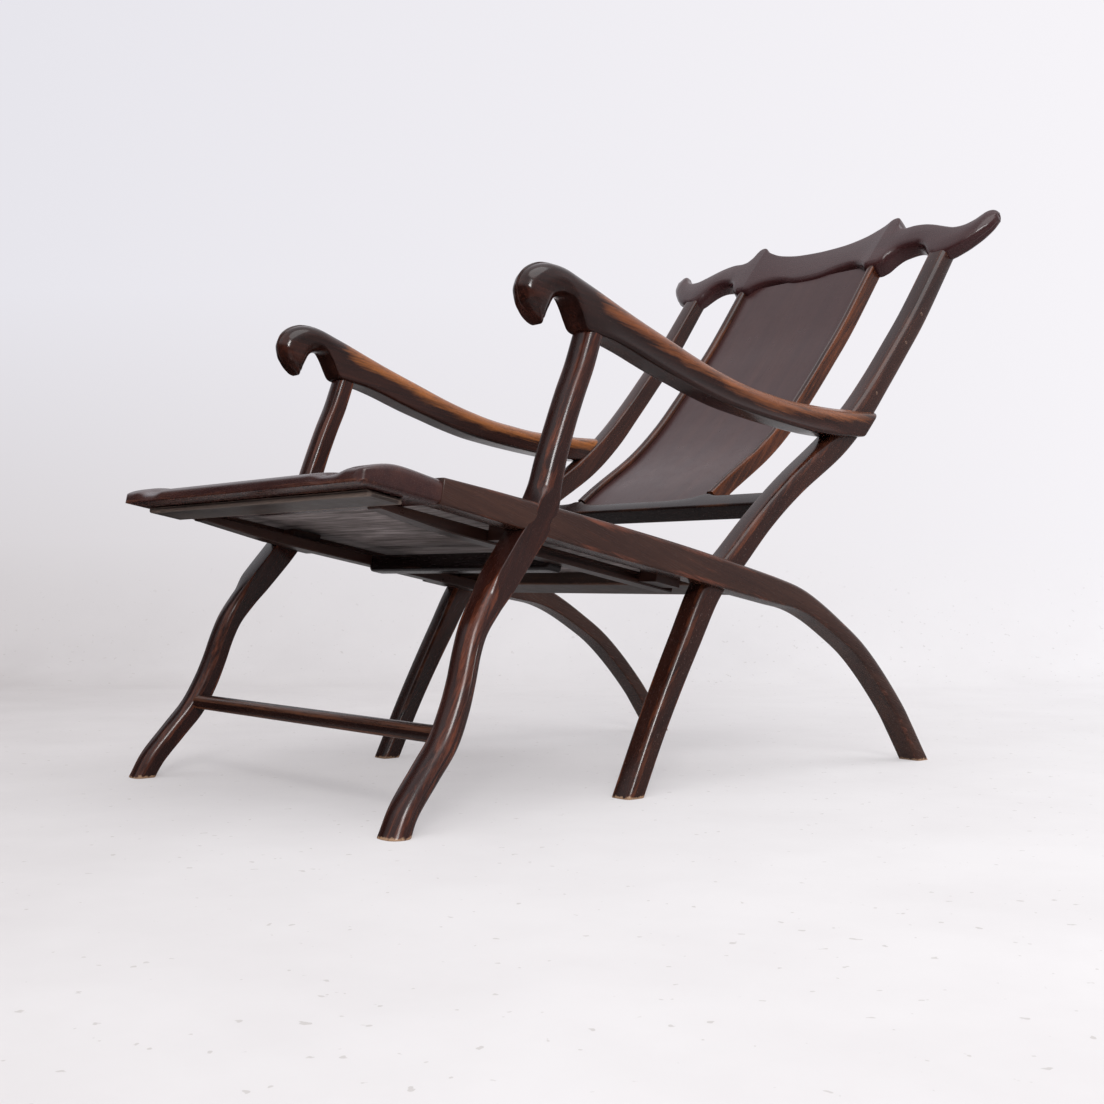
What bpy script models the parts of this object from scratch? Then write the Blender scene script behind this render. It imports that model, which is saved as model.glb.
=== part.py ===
"""Lounge chair in dark hardwood: crossed legs, scroll arms, panelled back and a pull-out footrest.

Metres, Z up. The chair faces -Y, and +X is the sitter's left. Side views below are given as (Y, Z) points,
with Y measured back from the front feet. At the end the whole chair is centred over the origin.
"""
import math

import bmesh
import bpy
from mathutils import Matrix, Vector, geometry

# Joints
FIT = 0.0003
WELD = 0.00003
HOUSING = 0.014
GROOVE = 0.006
CUT_OVERRUN = 0.01

# Outer plane: front legs, arms, seat rails with rear legs
OUTER_PLANE_X = 0.288
RAIL_THICKNESS = 0.038
EDGE_ROUND = 0.006
SMALL_ROUND = 0.003

# Inner plane: back stiles with middle legs
STILE_PLANE_X = 0.279
STILE_THICKNESS = 0.034
RAIL_LAP_X = 0.286
ARM_LAP_X = 0.284

# Seat rail with rear leg: (run share, height share, width share) down the middle of the bar
RAIL_FRONT_Y = 0.0945
RAIL_RUN = 0.9425
RAIL_HEIGHT = 0.3875
RAIL_WIDTH = 0.042
RAIL_SHARES = (
    (0.0, 1.0, 0.76), (0.112, 0.95, 0.86), (0.218, 0.899, 0.97), (0.356, 0.834, 1.0), (0.451, 0.788, 0.98),
    (0.547, 0.738, 0.95), (0.632, 0.694, 0.87), (0.682, 0.664, 0.76), (0.728, 0.616, 0.66), (0.778, 0.547, 0.6),
    (0.83, 0.465, 0.57), (0.881, 0.356, 0.55), (0.933, 0.222, 0.54), (0.962, 0.129, 0.54), (1.0, 0.0, 0.54),
)

# Front leg, foot to arm
LEG_FOOT_Y = 0.018
LEG_RUN = 0.318
LEG_HEIGHT = 0.597
LEG_WIDTH = 0.034
LEG_SPLAY = 0.033
LEG_SPLAY_TOP_Z = 0.325
LEG_SHARES = (
    (0.0, 0.0, 0.78), (0.052, 0.05, 0.78), (0.146, 0.11, 0.8), (0.232, 0.165, 0.82), (0.29, 0.223, 0.79),
    (0.33, 0.277, 0.75), (0.365, 0.335, 0.74), (0.403, 0.382, 0.78), (0.463, 0.428, 0.87), (0.539, 0.479, 0.96),
    (0.628, 0.536, 1.0), (0.706, 0.588, 0.99), (0.75, 0.63, 0.95), (0.778, 0.677, 0.88), (0.805, 0.729, 0.8),
    (0.855, 0.804, 0.75), (0.905, 0.871, 0.74), (0.954, 0.931, 0.73), (1.0, 1.0, 0.71),
)

# Back stile with middle leg, foot to crest
STILE_FOOT_Y = 0.415
STILE_RUN = 0.714
STILE_HEIGHT = 0.813
STILE_WIDTH = 0.037
STILE_SHARES = (
    (0.0, 0.0, 0.72), (0.053, 0.095, 0.74), (0.098, 0.169, 0.79), (0.151, 0.25, 0.87), (0.21, 0.335, 0.95),
    (0.274, 0.383, 0.93), (0.366, 0.457, 0.85), (0.463, 0.523, 0.88), (0.594, 0.599, 1.0), (0.682, 0.665, 0.97),
    (0.753, 0.731, 0.87), (0.82, 0.798, 0.84), (0.895, 0.876, 0.82), (1.0, 1.0, 0.74),
)

# Scroll arm, from the leg's top to the stile, as an outline of (length share, rise share) from its lowest point
ARM_STILE_SHARE = 0.6415
ARM_RISE = 0.179
ARM_THICKNESS = 0.042
ARM_NECK_SHARES = (0.172, 0.464)
ARM_LAP_SHARES = (0.938, 0.12)
ARM_END_SHARES = (1.0, 0.246)
ARM_OUTLINE_SHARES = (
    (0.947, 0.011), (0.851, 0.0), (0.761, 0.017), (0.667, 0.061), (0.558, 0.123), (0.444, 0.223), (0.347, 0.341),
    (0.264, 0.453), (0.191, 0.525), (0.152, 0.542), (0.143, 0.592), (0.136, 0.665), (0.125, 0.737),
    (0.107, 0.777), (0.089, 0.765), (0.075, 0.715), (0.065, 0.62), (0.051, 0.559), (0.031, 0.57), (0.013, 0.62),
    (0.003, 0.693), (0.0, 0.771), (0.006, 0.86), (0.02, 0.939), (0.045, 0.989), (0.076, 1.0), (0.11, 0.989),
    (0.149, 0.939), (0.207, 0.849), (0.288, 0.726), (0.371, 0.609), (0.473, 0.469), (0.598, 0.335),
    (0.726, 0.257), (0.876, 0.235),
)

# Crest rail, half outline of (half width share, height share) in its own leaning plane
CREST_HALF_WIDTH = 0.361
CREST_HEIGHT = 0.12
CREST_THICKNESS = 0.03
CREST_LEAN = math.radians(40)
CREST_ROUND = 0.005
CREST_HUMP_SHARE = 0.16
HOLLOW_HALF_WIDTH = 0.142
HOLLOW_DEPTH = 0.008
HOLLOW_SHARES = (0.0, 0.2, 0.4, 0.6, 0.8, 1.0)
CREST_OUTLINE_SHARES = (
    (0.0, 0.68), (0.15, 0.7), (0.28, 0.77), (0.365, 0.91), (0.405, 1.0), (0.435, 0.965), (0.455, 0.84),
    (0.48, 0.73), (0.515, 0.705), (0.565, 0.72), (0.64, 0.7), (0.72, 0.62), (0.795, 0.535), (0.855, 0.545),
    (0.905, 0.64), (0.935, 0.76), (0.96, 0.8), (0.985, 0.75), (0.995, 0.62), (0.98, 0.46), (0.94, 0.29),
    (0.885, 0.13), (0.82, 0.02), (0.76, -0.02), (0.72, 0.03), (0.69, 0.15), (0.65, 0.27), (0.6, 0.32),
    (0.545, 0.3), (0.5, 0.2), (0.47, 0.06), (0.44, 0.0), (0.375, 0.0), (0.345, 0.06), (0.3, 0.13),
    (0.24, 0.16), (0.16, 0.13), (0.08, 0.07), (0.0, 0.05),
)

# Back between the stiles
LOWER_RAIL_Z = 0.394
LOWER_RAIL_WIDTH = 0.03
LOWER_RAIL_THICKNESS = 0.028
LOWER_RAIL_SHARES = (
    (0.0, 0.28), (0.2, 0.29), (0.36, 0.34), (0.44, 0.44), (0.485, 0.6), (0.504, 0.69), (0.53, 0.7),
    (0.556, 0.69), (0.575, 0.6), (0.61, 0.52), (0.68, 0.5), (0.84, 0.5), (1.0, 0.5),
)
LOWER_RAIL_SHOULDER_SHARE = 0.7
SLIM_STILE_INNER_X = 0.139
SLIM_STILE_WIDTH = 0.0145
SLIM_STILE_DEPTH = 0.0266
SLIM_SHOULDER_REACH = 0.0015
SLIM_TENON_LENGTH = 0.012
SLIM_TENON_DEPTH = 0.01
SLIM_TENON_WIDTH = 0.006
PANEL_THICKNESS = 0.008

# Seat frame and panel, in the seat's slope
SEAT_SLOPE = math.radians(11)
SEAT_UNDER_Y = 0.025
SEAT_UNDER_Z = 0.385
FRONT_BOARD_HALF_WIDTH = 0.31
FRONT_BOARD_FRONT_Y = -0.019
FRONT_BOARD_THICKNESS = 0.031
FRONT_BOARD_ROUND = 0.005
FRONT_BOARD_SHARES = (
    (1.0, 0.0), (0.05, 0.0), (0.012, 0.1), (0.0, 0.26), (0.02, 0.43), (0.08, 0.56), (0.2, 0.71), (0.36, 0.85),
    (0.52, 0.93), (0.75, 0.97), (1.0, 0.97),
)
REAR_BOARD_FRONT_Y = 0.553
REAR_BOARD_DEPTH = 0.075
REAR_BOARD_THICKNESS = 0.03
REAR_BOARD_DROP = 0.004
SEAT_PANEL_LIFT = 0.014
SEAT_PANEL_THICKNESS = 0.012
RAIL_TENON_LENGTH = 0.022
RAIL_TENON_THICKNESS = 0.016
RAIL_TENON_HEIGHT = 0.014

# Stretcher between the front legs
STRETCHER_Z = 0.106
STRETCHER_HEIGHT = 0.018
STRETCHER_DEPTH = 0.024

# Footrest, sliding under the seat
SLIDE_GAP = 0.0006
FOOTREST_FRONT_Y = 0.02
FOOTREST_FRONT_HALF_WIDTH = 0.3
FOOTREST_FRONT_DEPTH = 0.039
FOOTREST_FRONT_THICKNESS = 0.009
RUNNER_INNER_X = 0.205
RUNNER_WIDTH = 0.03
RUNNER_THICKNESS = 0.016
RUNNER_REAR_Y = 0.548
RUNNER_TAPER_LENGTH = 0.11
RUNNER_ROUND = 0.0015
BATTEN_Y = 0.34
BATTEN_DEPTH = 0.026
BATTEN_THICKNESS = 0.02

# Keepers: blocks on the seat rails whose tongues carry the grooved runners
TONGUE_REACH = 0.006
TONGUE_HEIGHT = 0.005
TONGUE_DROP = 0.005
KEEPER_DROP = 0.014
KEEPER_LENGTH = 0.046
KEEPER_FRONT_Y = 0.218
KEEPER_STILE_GAP = 0.058

# Pins through the half laps of front leg and seat rail, and pegs in the back stiles' outer faces
PIN_RADIUS = 0.0035
PIN_LENGTH = 0.028
PEG_RADIUS = 0.0032
PEG_LENGTH = 0.009
PEG_STILE_SHARES = {"upper": 0.874, "middle": 0.812, "lower": 0.705}
PIN_SIDES = 16

# Colours of the five finishes, and how rough each is
DARK_LACQUER = (0.035, 0.012, 0.008)
DARK_LACQUER_ROUGHNESS = 0.28
WORN_LACQUER = (0.09, 0.03, 0.014)
WORN_LACQUER_ROUGHNESS = 0.33
PANEL_LACQUER = (0.05, 0.022, 0.014)
PANEL_LACQUER_ROUGHNESS = 0.34
RAW_UNDERSIDE = (0.12, 0.085, 0.065)
RAW_UNDERSIDE_ROUGHNESS = 0.7
PEG_WOOD = (0.16, 0.08, 0.04)
PEG_WOOD_ROUGHNESS = 0.5

STEPS_PER_SPAN = 2
ROUND_SEGMENTS = 2
SHARP_ANGLE = math.radians(35)
FLAT_NORMAL_SHARE = 0.99

SIDE_NAMES = {1: "left", -1: "right"}

# Side planes: outline X and Y run along world Y and Z, and the thickness lies along world X
SIDE_PLANE = Matrix(((0, 0, 1, 0), (1, 0, 0, 0), (0, 1, 0, 0), (0, 0, 0, 1)))


def clear_scene():
    """Removes every object of the scene."""
    for thing in list(bpy.data.objects):
        bpy.data.objects.remove(thing, do_unlink=True)


def new_collection(name):
    collection = bpy.data.collections.new(name)
    bpy.context.scene.collection.children.link(collection)
    return collection


def wood(name, colour, roughness):
    """Wood finish: a plain colour and how rough its surface is."""
    material = bpy.data.materials.new(name)
    material.use_nodes = True
    shader = material.node_tree.nodes["Principled BSDF"]
    shader.inputs["Base Color"].default_value = (*colour, 1.0)
    shader.inputs["Roughness"].default_value = roughness
    shader.inputs["Metallic"].default_value = 0.0
    material.diffuse_color = (*colour, 1.0)
    return material


def smooth_curve(points, closed=False):
    """Points of a Catmull-Rom curve through the given points of any length."""
    count = len(points)
    spans = count if closed else count - 1
    result = []
    for i in range(spans):
        if closed:
            p0, p1, p2, p3 = (points[(i + k - 1) % count] for k in range(4))
        else:
            p1, p2 = points[i], points[i + 1]
            p0 = points[i - 1] if i > 0 else p1
            p3 = points[i + 2] if i + 2 < count else p2
        for step in range(STEPS_PER_SPAN):
            t = step / STEPS_PER_SPAN
            result.append(tuple(
                0.5 * (2 * b + (c - a) * t + (2 * a - 5 * b + 4 * c - d) * t * t + (3 * b - a - 3 * c + d) * t ** 3)
                for a, b, c, d in zip(p0, p1, p2, p3)
            ))
    if not closed:
        result.append(tuple(points[-1]))
    return result


def stations(shares, start_y, run, height, width):
    """Middle line and width of a bar as (Y, Z, width), from a table of shares."""
    return smooth_curve([(start_y + run * s, height * h, width * w) for s, h, w in shares])


def bar_outline(path, grow=0.0, foot=None):
    """Outline round a bar's middle line; the end named by foot is cut level for the floor."""
    left, right = [], []
    last = len(path) - 1
    for i, (y, z, width) in enumerate(path):
        before = Vector(path[max(i - 1, 0)][:2])
        after = Vector(path[min(i + 1, last)][:2])
        along = (after - before).normalized()
        half = width / 2 + grow
        if i == foot:
            across = Vector((math.copysign(1 / abs(along.y), along.y), 0.0))
        else:
            across = Vector((along.y, -along.x))
            y, z = Vector((y, z)) + along * grow * ((i == last) - (i == 0))
        left.append((y - across.x * half, z - across.y * half))
        right.append((y + across.x * half, z + across.y * half))
    return left + right[::-1]


def grown(outline, distance):
    """Closed outline moved outwards by a distance; the outline runs clockwise or the other way round."""
    points = [Vector(p) for p in outline]
    area = sum(a.x * b.y - b.x * a.y for a, b in zip(points, points[1:] + points[:1]))
    turn = math.copysign(distance, area)
    result = []
    for i, point in enumerate(points):
        along = (points[(i + 1) % len(points)] - points[i - 1]).normalized()
        result.append((point.x + along.y * turn, point.y - along.x * turn))
    return result


def flat_solid(name, outline, low, high, place, collection):
    """Solid of a flat outline, from low to high along the placing matrix's third axis."""
    curve = bpy.data.curves.new(name + "_outline", "CURVE")
    curve.dimensions = "2D"
    curve.fill_mode = "BOTH"
    curve.extrude = (high - low) / 2
    spline = curve.splines.new("POLY")
    spline.points.add(len(outline) - 1)
    for point, (x, y) in zip(spline.points, outline):
        point.co = (x, y, 0.0, 1.0)
    spline.use_cyclic_u = True
    holder = bpy.data.objects.new(name + "_outline", curve)
    bpy.context.scene.collection.objects.link(holder)
    evaluated = holder.evaluated_get(bpy.context.evaluated_depsgraph_get())
    mesh = bpy.data.meshes.new_from_object(evaluated)
    bpy.data.objects.remove(holder, do_unlink=True)

    solid = bmesh.new()
    solid.from_mesh(mesh)
    bmesh.ops.remove_doubles(solid, verts=solid.verts, dist=WELD)
    inside_caps = [e for e in solid.edges if all(abs(f.normal.z) > FLAT_NORMAL_SHARE for f in e.link_faces)]
    bmesh.ops.dissolve_edges(solid, edges=inside_caps, use_verts=False)
    bmesh.ops.transform(solid, matrix=place @ Matrix.Translation((0, 0, (low + high) / 2)), verts=solid.verts)
    bmesh.ops.recalc_face_normals(solid, faces=solid.faces)
    solid.to_mesh(mesh)
    solid.free()
    mesh.name = name
    piece = bpy.data.objects.new(name, mesh)
    collection.objects.link(piece)
    return piece


def block(name, size, place, collection):
    """Box of the given size, its middle at the placing matrix's origin."""
    mesh = bpy.data.meshes.new(name)
    solid = bmesh.new()
    bmesh.ops.create_cube(solid, size=1.0)
    bmesh.ops.transform(solid, matrix=place @ Matrix.Diagonal((*size, 1.0)), verts=solid.verts)
    bmesh.ops.recalc_face_normals(solid, faces=solid.faces)
    solid.to_mesh(mesh)
    solid.free()
    piece = bpy.data.objects.new(name, mesh)
    collection.objects.link(piece)
    return piece


def finish(piece, material, round_off, segments=ROUND_SEGMENTS):
    """Material, rounded edges and smooth shading."""
    piece.data.materials.append(material)
    bevel = piece.modifiers.new("Rounded edges", "BEVEL")
    bevel.width = round_off
    bevel.segments = segments
    bevel.limit_method = "ANGLE"
    bevel.angle_limit = SHARP_ANGLE
    piece.data.shade_smooth()
    piece.data.set_sharp_from_angle(angle=SHARP_ANGLE)
    return piece


def cut(piece, cutter):
    """Takes a cutter's space out of a piece."""
    boolean = piece.modifiers.new("Cut " + cutter.name, "BOOLEAN")
    boolean.operation = "DIFFERENCE"
    boolean.solver = "EXACT"
    boolean.object = cutter


def join(piece, added):
    """Adds a guide solid, such as a tenon, to a piece."""
    boolean = piece.modifiers.new("Join " + added.name, "BOOLEAN")
    boolean.operation = "UNION"
    boolean.solver = "EXACT"
    boolean.object = added


def as_cutter(thing):
    thing.display_type = "WIRE"
    thing.hide_render = True
    return thing


def side_solid(name, outline, low_x, high_x, side, collection):
    """Solid of a side-view outline between two distances from the middle plane."""
    low, high = sorted((side * low_x, side * high_x))
    return flat_solid(name, outline, low, high, SIDE_PLANE, collection)


def tilted(y, z, angle):
    """Placing matrix at (0, Y, Z), its own Y axis turned down towards the back by an angle."""
    return Matrix.Translation((0, y, z)) @ Matrix.Rotation(-angle, 4, "X")


def at_height(path, height):
    """Point and direction where a rising path passes a height."""
    for (y0, z0, w0), (y1, z1, w1) in zip(path, path[1:]):
        if z0 <= height <= z1:
            share = (height - z0) / (z1 - z0)
            return Vector((y0 + (y1 - y0) * share, height)), Vector((y1 - y0, z1 - z0)).normalized()
    raise ValueError("the path doesn't reach this height")


def crossing(path, other):
    """Point where the middle lines of two bars cross."""
    for a, b in zip(path, path[1:]):
        for c, d in zip(other, other[1:]):
            point = geometry.intersect_line_line_2d(a[:2], b[:2], c[:2], d[:2])
            if point is not None:
                return point
    raise ValueError("the bars don't cross")


def arm_point(length_share, rise_share):
    """Point of the arm's outline: the shares are held to the leg's top and to the lap on the stile."""
    share = (length_share - ARM_NECK_SHARES[0]) / (ARM_LAP_SHARES[0] - ARM_NECK_SHARES[0])
    on_line = arm_neck + (arm_lap - arm_neck) * share
    line_share = ARM_NECK_SHARES[1] + (ARM_LAP_SHARES[1] - ARM_NECK_SHARES[1]) * share
    return (on_line.x, on_line.y + ARM_RISE * (rise_share - line_share))


def seat_under(y):
    """Height of the seat frame's underside at a distance from the front."""
    return SEAT_UNDER_Z - math.tan(SEAT_SLOPE) * (y - SEAT_UNDER_Y)


def seat_slab(name, front_y, rear_y, half_width, lift, thickness, collection, grow=0.0):
    """Board in the seat's slope, its underside lifted square to the slope from the seat's underside."""
    middle_y = (front_y + rear_y) / 2
    up = lift + thickness / 2
    place = tilted(middle_y, seat_under(middle_y), SEAT_SLOPE) @ Matrix.Translation((0, 0, up))
    depth = (rear_y - front_y) / math.cos(SEAT_SLOPE)
    size = (2 * (half_width + grow), depth + 2 * grow, thickness + 2 * grow)
    return block(name, size, place, collection)


def dark_lacquer():
    return wood("dark_lacquer", DARK_LACQUER, DARK_LACQUER_ROUGHNESS)


def worn_lacquer():
    return wood("worn_lacquer", WORN_LACQUER, WORN_LACQUER_ROUGHNESS)


def panel_lacquer():
    return wood("panel_lacquer", PANEL_LACQUER, PANEL_LACQUER_ROUGHNESS)


def raw_underside():
    return wood("raw_underside", RAW_UNDERSIDE, RAW_UNDERSIDE_ROUGHNESS)


def peg_wood():
    return wood("peg_wood", PEG_WOOD, PEG_WOOD_ROUGHNESS)


def splay(piece, side):
    """Leans a front leg outwards below the seat rail."""
    solid = bmesh.new()
    solid.from_mesh(piece.data)
    bmesh.ops.bisect_plane(solid, geom=solid.verts[:] + solid.edges[:] + solid.faces[:],
                           plane_co=(0, 0, LEG_SPLAY_TOP_Z), plane_no=(0, 0, 1))
    for vertex in solid.verts:
        below = max(LEG_SPLAY_TOP_Z - vertex.co.z, 0.0)
        vertex.co.x += side * LEG_SPLAY * below / LEG_SPLAY_TOP_Z
    solid.to_mesh(piece.data)
    solid.free()


def pin(name, radius, low_x, high_x, point, side, collection):
    """Round pin across the chair at a side-view point, between two distances from the middle plane."""
    place = Matrix.Translation((side * (low_x + high_x) / 2, *point)) @ Matrix.Rotation(math.pi / 2, 4, "Y")
    mesh = bpy.data.meshes.new(name)
    solid = bmesh.new()
    bmesh.ops.create_cone(solid, cap_ends=True, segments=PIN_SIDES, radius1=radius, radius2=radius,
                          depth=high_x - low_x, matrix=place)
    solid.to_mesh(mesh)
    solid.free()
    piece = bpy.data.objects.new(name, mesh)
    collection.objects.link(piece)
    return piece


clear_scene()
chair = new_collection("lounge_chair")
cutters = new_collection("cutters")

rail_inner_x = OUTER_PLANE_X - RAIL_THICKNESS / 2
rail_outer_x = OUTER_PLANE_X + RAIL_THICKNESS / 2
stile_inner_x = STILE_PLANE_X - STILE_THICKNESS / 2
stile_outer_x = STILE_PLANE_X + STILE_THICKNESS / 2
arm_inner_x = OUTER_PLANE_X - ARM_THICKNESS / 2
arm_outer_x = OUTER_PLANE_X + ARM_THICKNESS / 2
pin_low_x = rail_outer_x - PIN_LENGTH
peg_low_x = stile_outer_x - PEG_LENGTH
slim_outer_x = SLIM_STILE_INNER_X + SLIM_STILE_WIDTH
panel_half_width = SLIM_STILE_INNER_X + GROOVE
runner_outer_x = RUNNER_INNER_X + RUNNER_WIDTH

rail_path = stations(RAIL_SHARES, RAIL_FRONT_Y, RAIL_RUN, RAIL_HEIGHT, RAIL_WIDTH)
leg_path = stations(LEG_SHARES, LEG_FOOT_Y, LEG_RUN, LEG_HEIGHT, LEG_WIDTH)
stile_path = stations(STILE_SHARES, STILE_FOOT_Y, STILE_RUN, STILE_HEIGHT, STILE_WIDTH)
crest_along = Vector((math.sin(CREST_LEAN), math.cos(CREST_LEAN)))
stile_top = Vector(stile_path[-1][:2])
stile_path.append((*(stile_top + crest_along * HOUSING), stile_path[-1][2]))
crest_place = Matrix.Translation((0, *stile_top)) @ Matrix.Rotation(math.pi / 2 - CREST_LEAN, 4, "X")

arm_neck = Vector((leg_path[-1][0], leg_path[-1][1] - HOUSING))
arm_lap = at_height(stile_path, STILE_HEIGHT * ARM_STILE_SHARE)[0]
arm_outline = smooth_curve([ARM_END_SHARES, *ARM_OUTLINE_SHARES, ARM_END_SHARES])[STEPS_PER_SPAN:]
arm_outline = [arm_point(s, r) for s, r in arm_outline]

lower_point, lower_along = at_height(stile_path, LOWER_RAIL_Z)
lower_turn = math.atan2(lower_along.y, lower_along.x)
lower_half = stile_inner_x + HOUSING
lower_shoulder = lower_point + lower_along * (LOWER_RAIL_WIDTH * LOWER_RAIL_SHOULDER_SHARE + FIT)
slim_path = [(y, z, SLIM_STILE_DEPTH) for y, z, w in stile_path
             if lower_shoulder.y + HOUSING < z < stile_top.y - HOUSING]
slim_path[:0] = [(*(lower_shoulder + lower_along * reach), SLIM_STILE_DEPTH) for reach in (0, HOUSING / 2)]
slim_path.append((*(stile_top + crest_along * SLIM_SHOULDER_REACH), SLIM_STILE_DEPTH))
panel_path = [(y, z, PANEL_THICKNESS) for y, z, w in slim_path[2:-1]]
panel_path.insert(0, (*(lower_point - lower_along * GROOVE), PANEL_THICKNESS))
panel_path.append((*(stile_top + crest_along * (CREST_HEIGHT * CREST_HUMP_SHARE + GROOVE)), PANEL_THICKNESS))

front_board_rear_y = RAIL_FRONT_Y - FIT
front_board_depth = (front_board_rear_y - FRONT_BOARD_FRONT_Y) / math.cos(SEAT_SLOPE)
front_board_outline = [(front_board_depth * s, FRONT_BOARD_THICKNESS * t) for s, t in FRONT_BOARD_SHARES]
front_board_place = tilted(FRONT_BOARD_FRONT_Y, seat_under(FRONT_BOARD_FRONT_Y), SEAT_SLOPE) @ SIDE_PLANE
seat_panel_args = (front_board_rear_y - GROOVE, REAR_BOARD_FRONT_Y + GROOVE, rail_inner_x + GROOVE,
                   SEAT_PANEL_LIFT, SEAT_PANEL_THICKNESS)
rear_board_args = (REAR_BOARD_FRONT_Y, REAR_BOARD_FRONT_Y + REAR_BOARD_DEPTH, stile_inner_x + GROOVE,
                   -REAR_BOARD_DROP, REAR_BOARD_THICKNESS)

stretcher_place = Matrix.Translation((0, *at_height(leg_path, STRETCHER_Z)[0]))
splay_at_stretcher = LEG_SPLAY * (1 - STRETCHER_Z / LEG_SPLAY_TOP_Z)
stretcher_half = rail_inner_x + splay_at_stretcher + HOUSING

pin_point = crossing(leg_path, rail_path)
rear_keeper_y = crossing(stile_path, rail_path).x - KEEPER_STILE_GAP - KEEPER_LENGTH

footrest_front_rear_y = FOOTREST_FRONT_Y + FOOTREST_FRONT_DEPTH
batten_args = (BATTEN_Y, BATTEN_Y + BATTEN_DEPTH, RUNNER_INNER_X + GROOVE, -SLIDE_GAP - BATTEN_THICKNESS,
               BATTEN_THICKNESS - SMALL_ROUND)
runner_front_y = footrest_front_rear_y + FIT
runner_length = (RUNNER_REAR_Y - runner_front_y) / math.cos(SEAT_SLOPE)


def crest_rail(material):
    """Crest rail with two ears and two upturned horns, leaning back on the stile tops."""
    half = smooth_curve([(CREST_HALF_WIDTH * s, CREST_HEIGHT * h) for s, h in CREST_OUTLINE_SHARES])
    outline = half + [(-x, v) for x, v in half[-2:0:-1]]
    crest = flat_solid("crest_rail", outline, -CREST_THICKNESS / 2, CREST_THICKNESS / 2, crest_place, chair)
    return finish(crest, material, CREST_ROUND)


def crest_hollow():
    """Space hollowed out of the crest's front between the ears, for the sitter's head."""
    half = [(HOLLOW_HALF_WIDTH * s, CREST_THICKNESS / 2 - HOLLOW_DEPTH * (1 - s * s)) for s in HOLLOW_SHARES]
    outline = [(-x, n) for x, n in half[:0:-1]] + half
    outline += [(x, n + CUT_OVERRUN) for x, n in (half[-1], (-half[-1][0], half[-1][1]))]
    place = crest_place @ Matrix.Rotation(math.pi / 2, 4, "X") @ Matrix.Diagonal((1, 1, -1, 1))
    return as_cutter(flat_solid("crest_hollow", outline, -CREST_HEIGHT, 2 * CREST_HEIGHT, place, cutters))


def lower_rail_solid(name, grow, collection):
    """Lower back rail between the stiles: its top edge dips between the slim stiles and rises where they stand."""
    half = smooth_curve([(lower_half * s, LOWER_RAIL_WIDTH * h) for s, h in LOWER_RAIL_SHARES])
    outline = half + [(lower_half, -LOWER_RAIL_WIDTH / 2), (-lower_half, -LOWER_RAIL_WIDTH / 2)]
    outline += [(-x, h) for x, h in half[:0:-1]]
    place = Matrix.Translation((0, *lower_point)) @ Matrix.Rotation(lower_turn, 4, "X")
    reach = LOWER_RAIL_THICKNESS / 2 + grow
    return flat_solid(name, grown(outline, grow) if grow else outline, -reach, reach, place, collection)


def lower_back_rail(material):
    return finish(lower_rail_solid("lower_back_rail", 0, chair), material, SMALL_ROUND)


def splat_panel(material):
    """Thin panel held in the grooves of the two slim stiles, bent like the back stiles."""
    panel = flat_solid("splat_panel", bar_outline(panel_path), -panel_half_width, panel_half_width, SIDE_PLANE, chair)
    return finish(panel, material, FIT, 1)


def splat_panel_space():
    reach = panel_half_width + FIT
    return as_cutter(flat_solid("splat_panel_space", bar_outline(panel_path, FIT), -reach, reach, SIDE_PLANE, cutters))


def splat_stile(side, material):
    """Slim stile at the panel's edge, bent like the back stile."""
    slim = side_solid("splat_stile_" + SIDE_NAMES[side], bar_outline(slim_path), SLIM_STILE_INNER_X, slim_outer_x,
                      side, chair)
    return finish(slim, material, SMALL_ROUND)


def splat_stile_space(side):
    return as_cutter(side_solid("splat_stile_space_" + SIDE_NAMES[side], bar_outline(slim_path, FIT),
                                SLIM_STILE_INNER_X - FIT, slim_outer_x + FIT, side, cutters))


def slim_tenon(name, point, along, side, grow=0.0):
    """Tenon at an end of a slim stile, outside the panel's groove: half in the stile and half past its shoulder."""
    middle_x = side * (panel_half_width + slim_outer_x) / 2
    place = Matrix.Translation((middle_x, *point)) @ Matrix.Rotation(math.atan2(along.y, along.x), 4, "X")
    size = (SLIM_TENON_WIDTH + 2 * grow, 2 * (SLIM_TENON_LENGTH + grow), SLIM_TENON_DEPTH + 2 * grow)
    return as_cutter(block(name + SIDE_NAMES[side], size, place, cutters))


def seat_front_board(material):
    """Front board of the seat: its section bulges over the front, and the ends are rounded."""
    board = flat_solid("seat_front_board", front_board_outline, -FRONT_BOARD_HALF_WIDTH, FRONT_BOARD_HALF_WIDTH,
                       front_board_place, chair)
    return finish(board, material, FRONT_BOARD_ROUND)


def seat_front_board_space():
    reach = FRONT_BOARD_HALF_WIDTH + FIT
    return as_cutter(flat_solid("seat_front_board_space", grown(front_board_outline, FIT), -reach, reach,
                                front_board_place, cutters))


def seat_rear_board(material):
    return finish(seat_slab("seat_rear_board", *rear_board_args, chair), material, SMALL_ROUND)


def seat_panel(material):
    """Panel of the seat, let into grooves of the rails and boards."""
    return finish(seat_slab("seat_panel", *seat_panel_args, chair), material, FIT, 1)


def front_stretcher(material):
    stretcher = block("front_stretcher", (2 * stretcher_half, STRETCHER_DEPTH, STRETCHER_HEIGHT), stretcher_place, chair)
    return finish(stretcher, material, SMALL_ROUND)


def front_stretcher_space():
    size = (2 * (stretcher_half + FIT), STRETCHER_DEPTH + 2 * FIT, STRETCHER_HEIGHT + 2 * FIT)
    return as_cutter(block("front_stretcher_space", size, stretcher_place, cutters))


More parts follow.
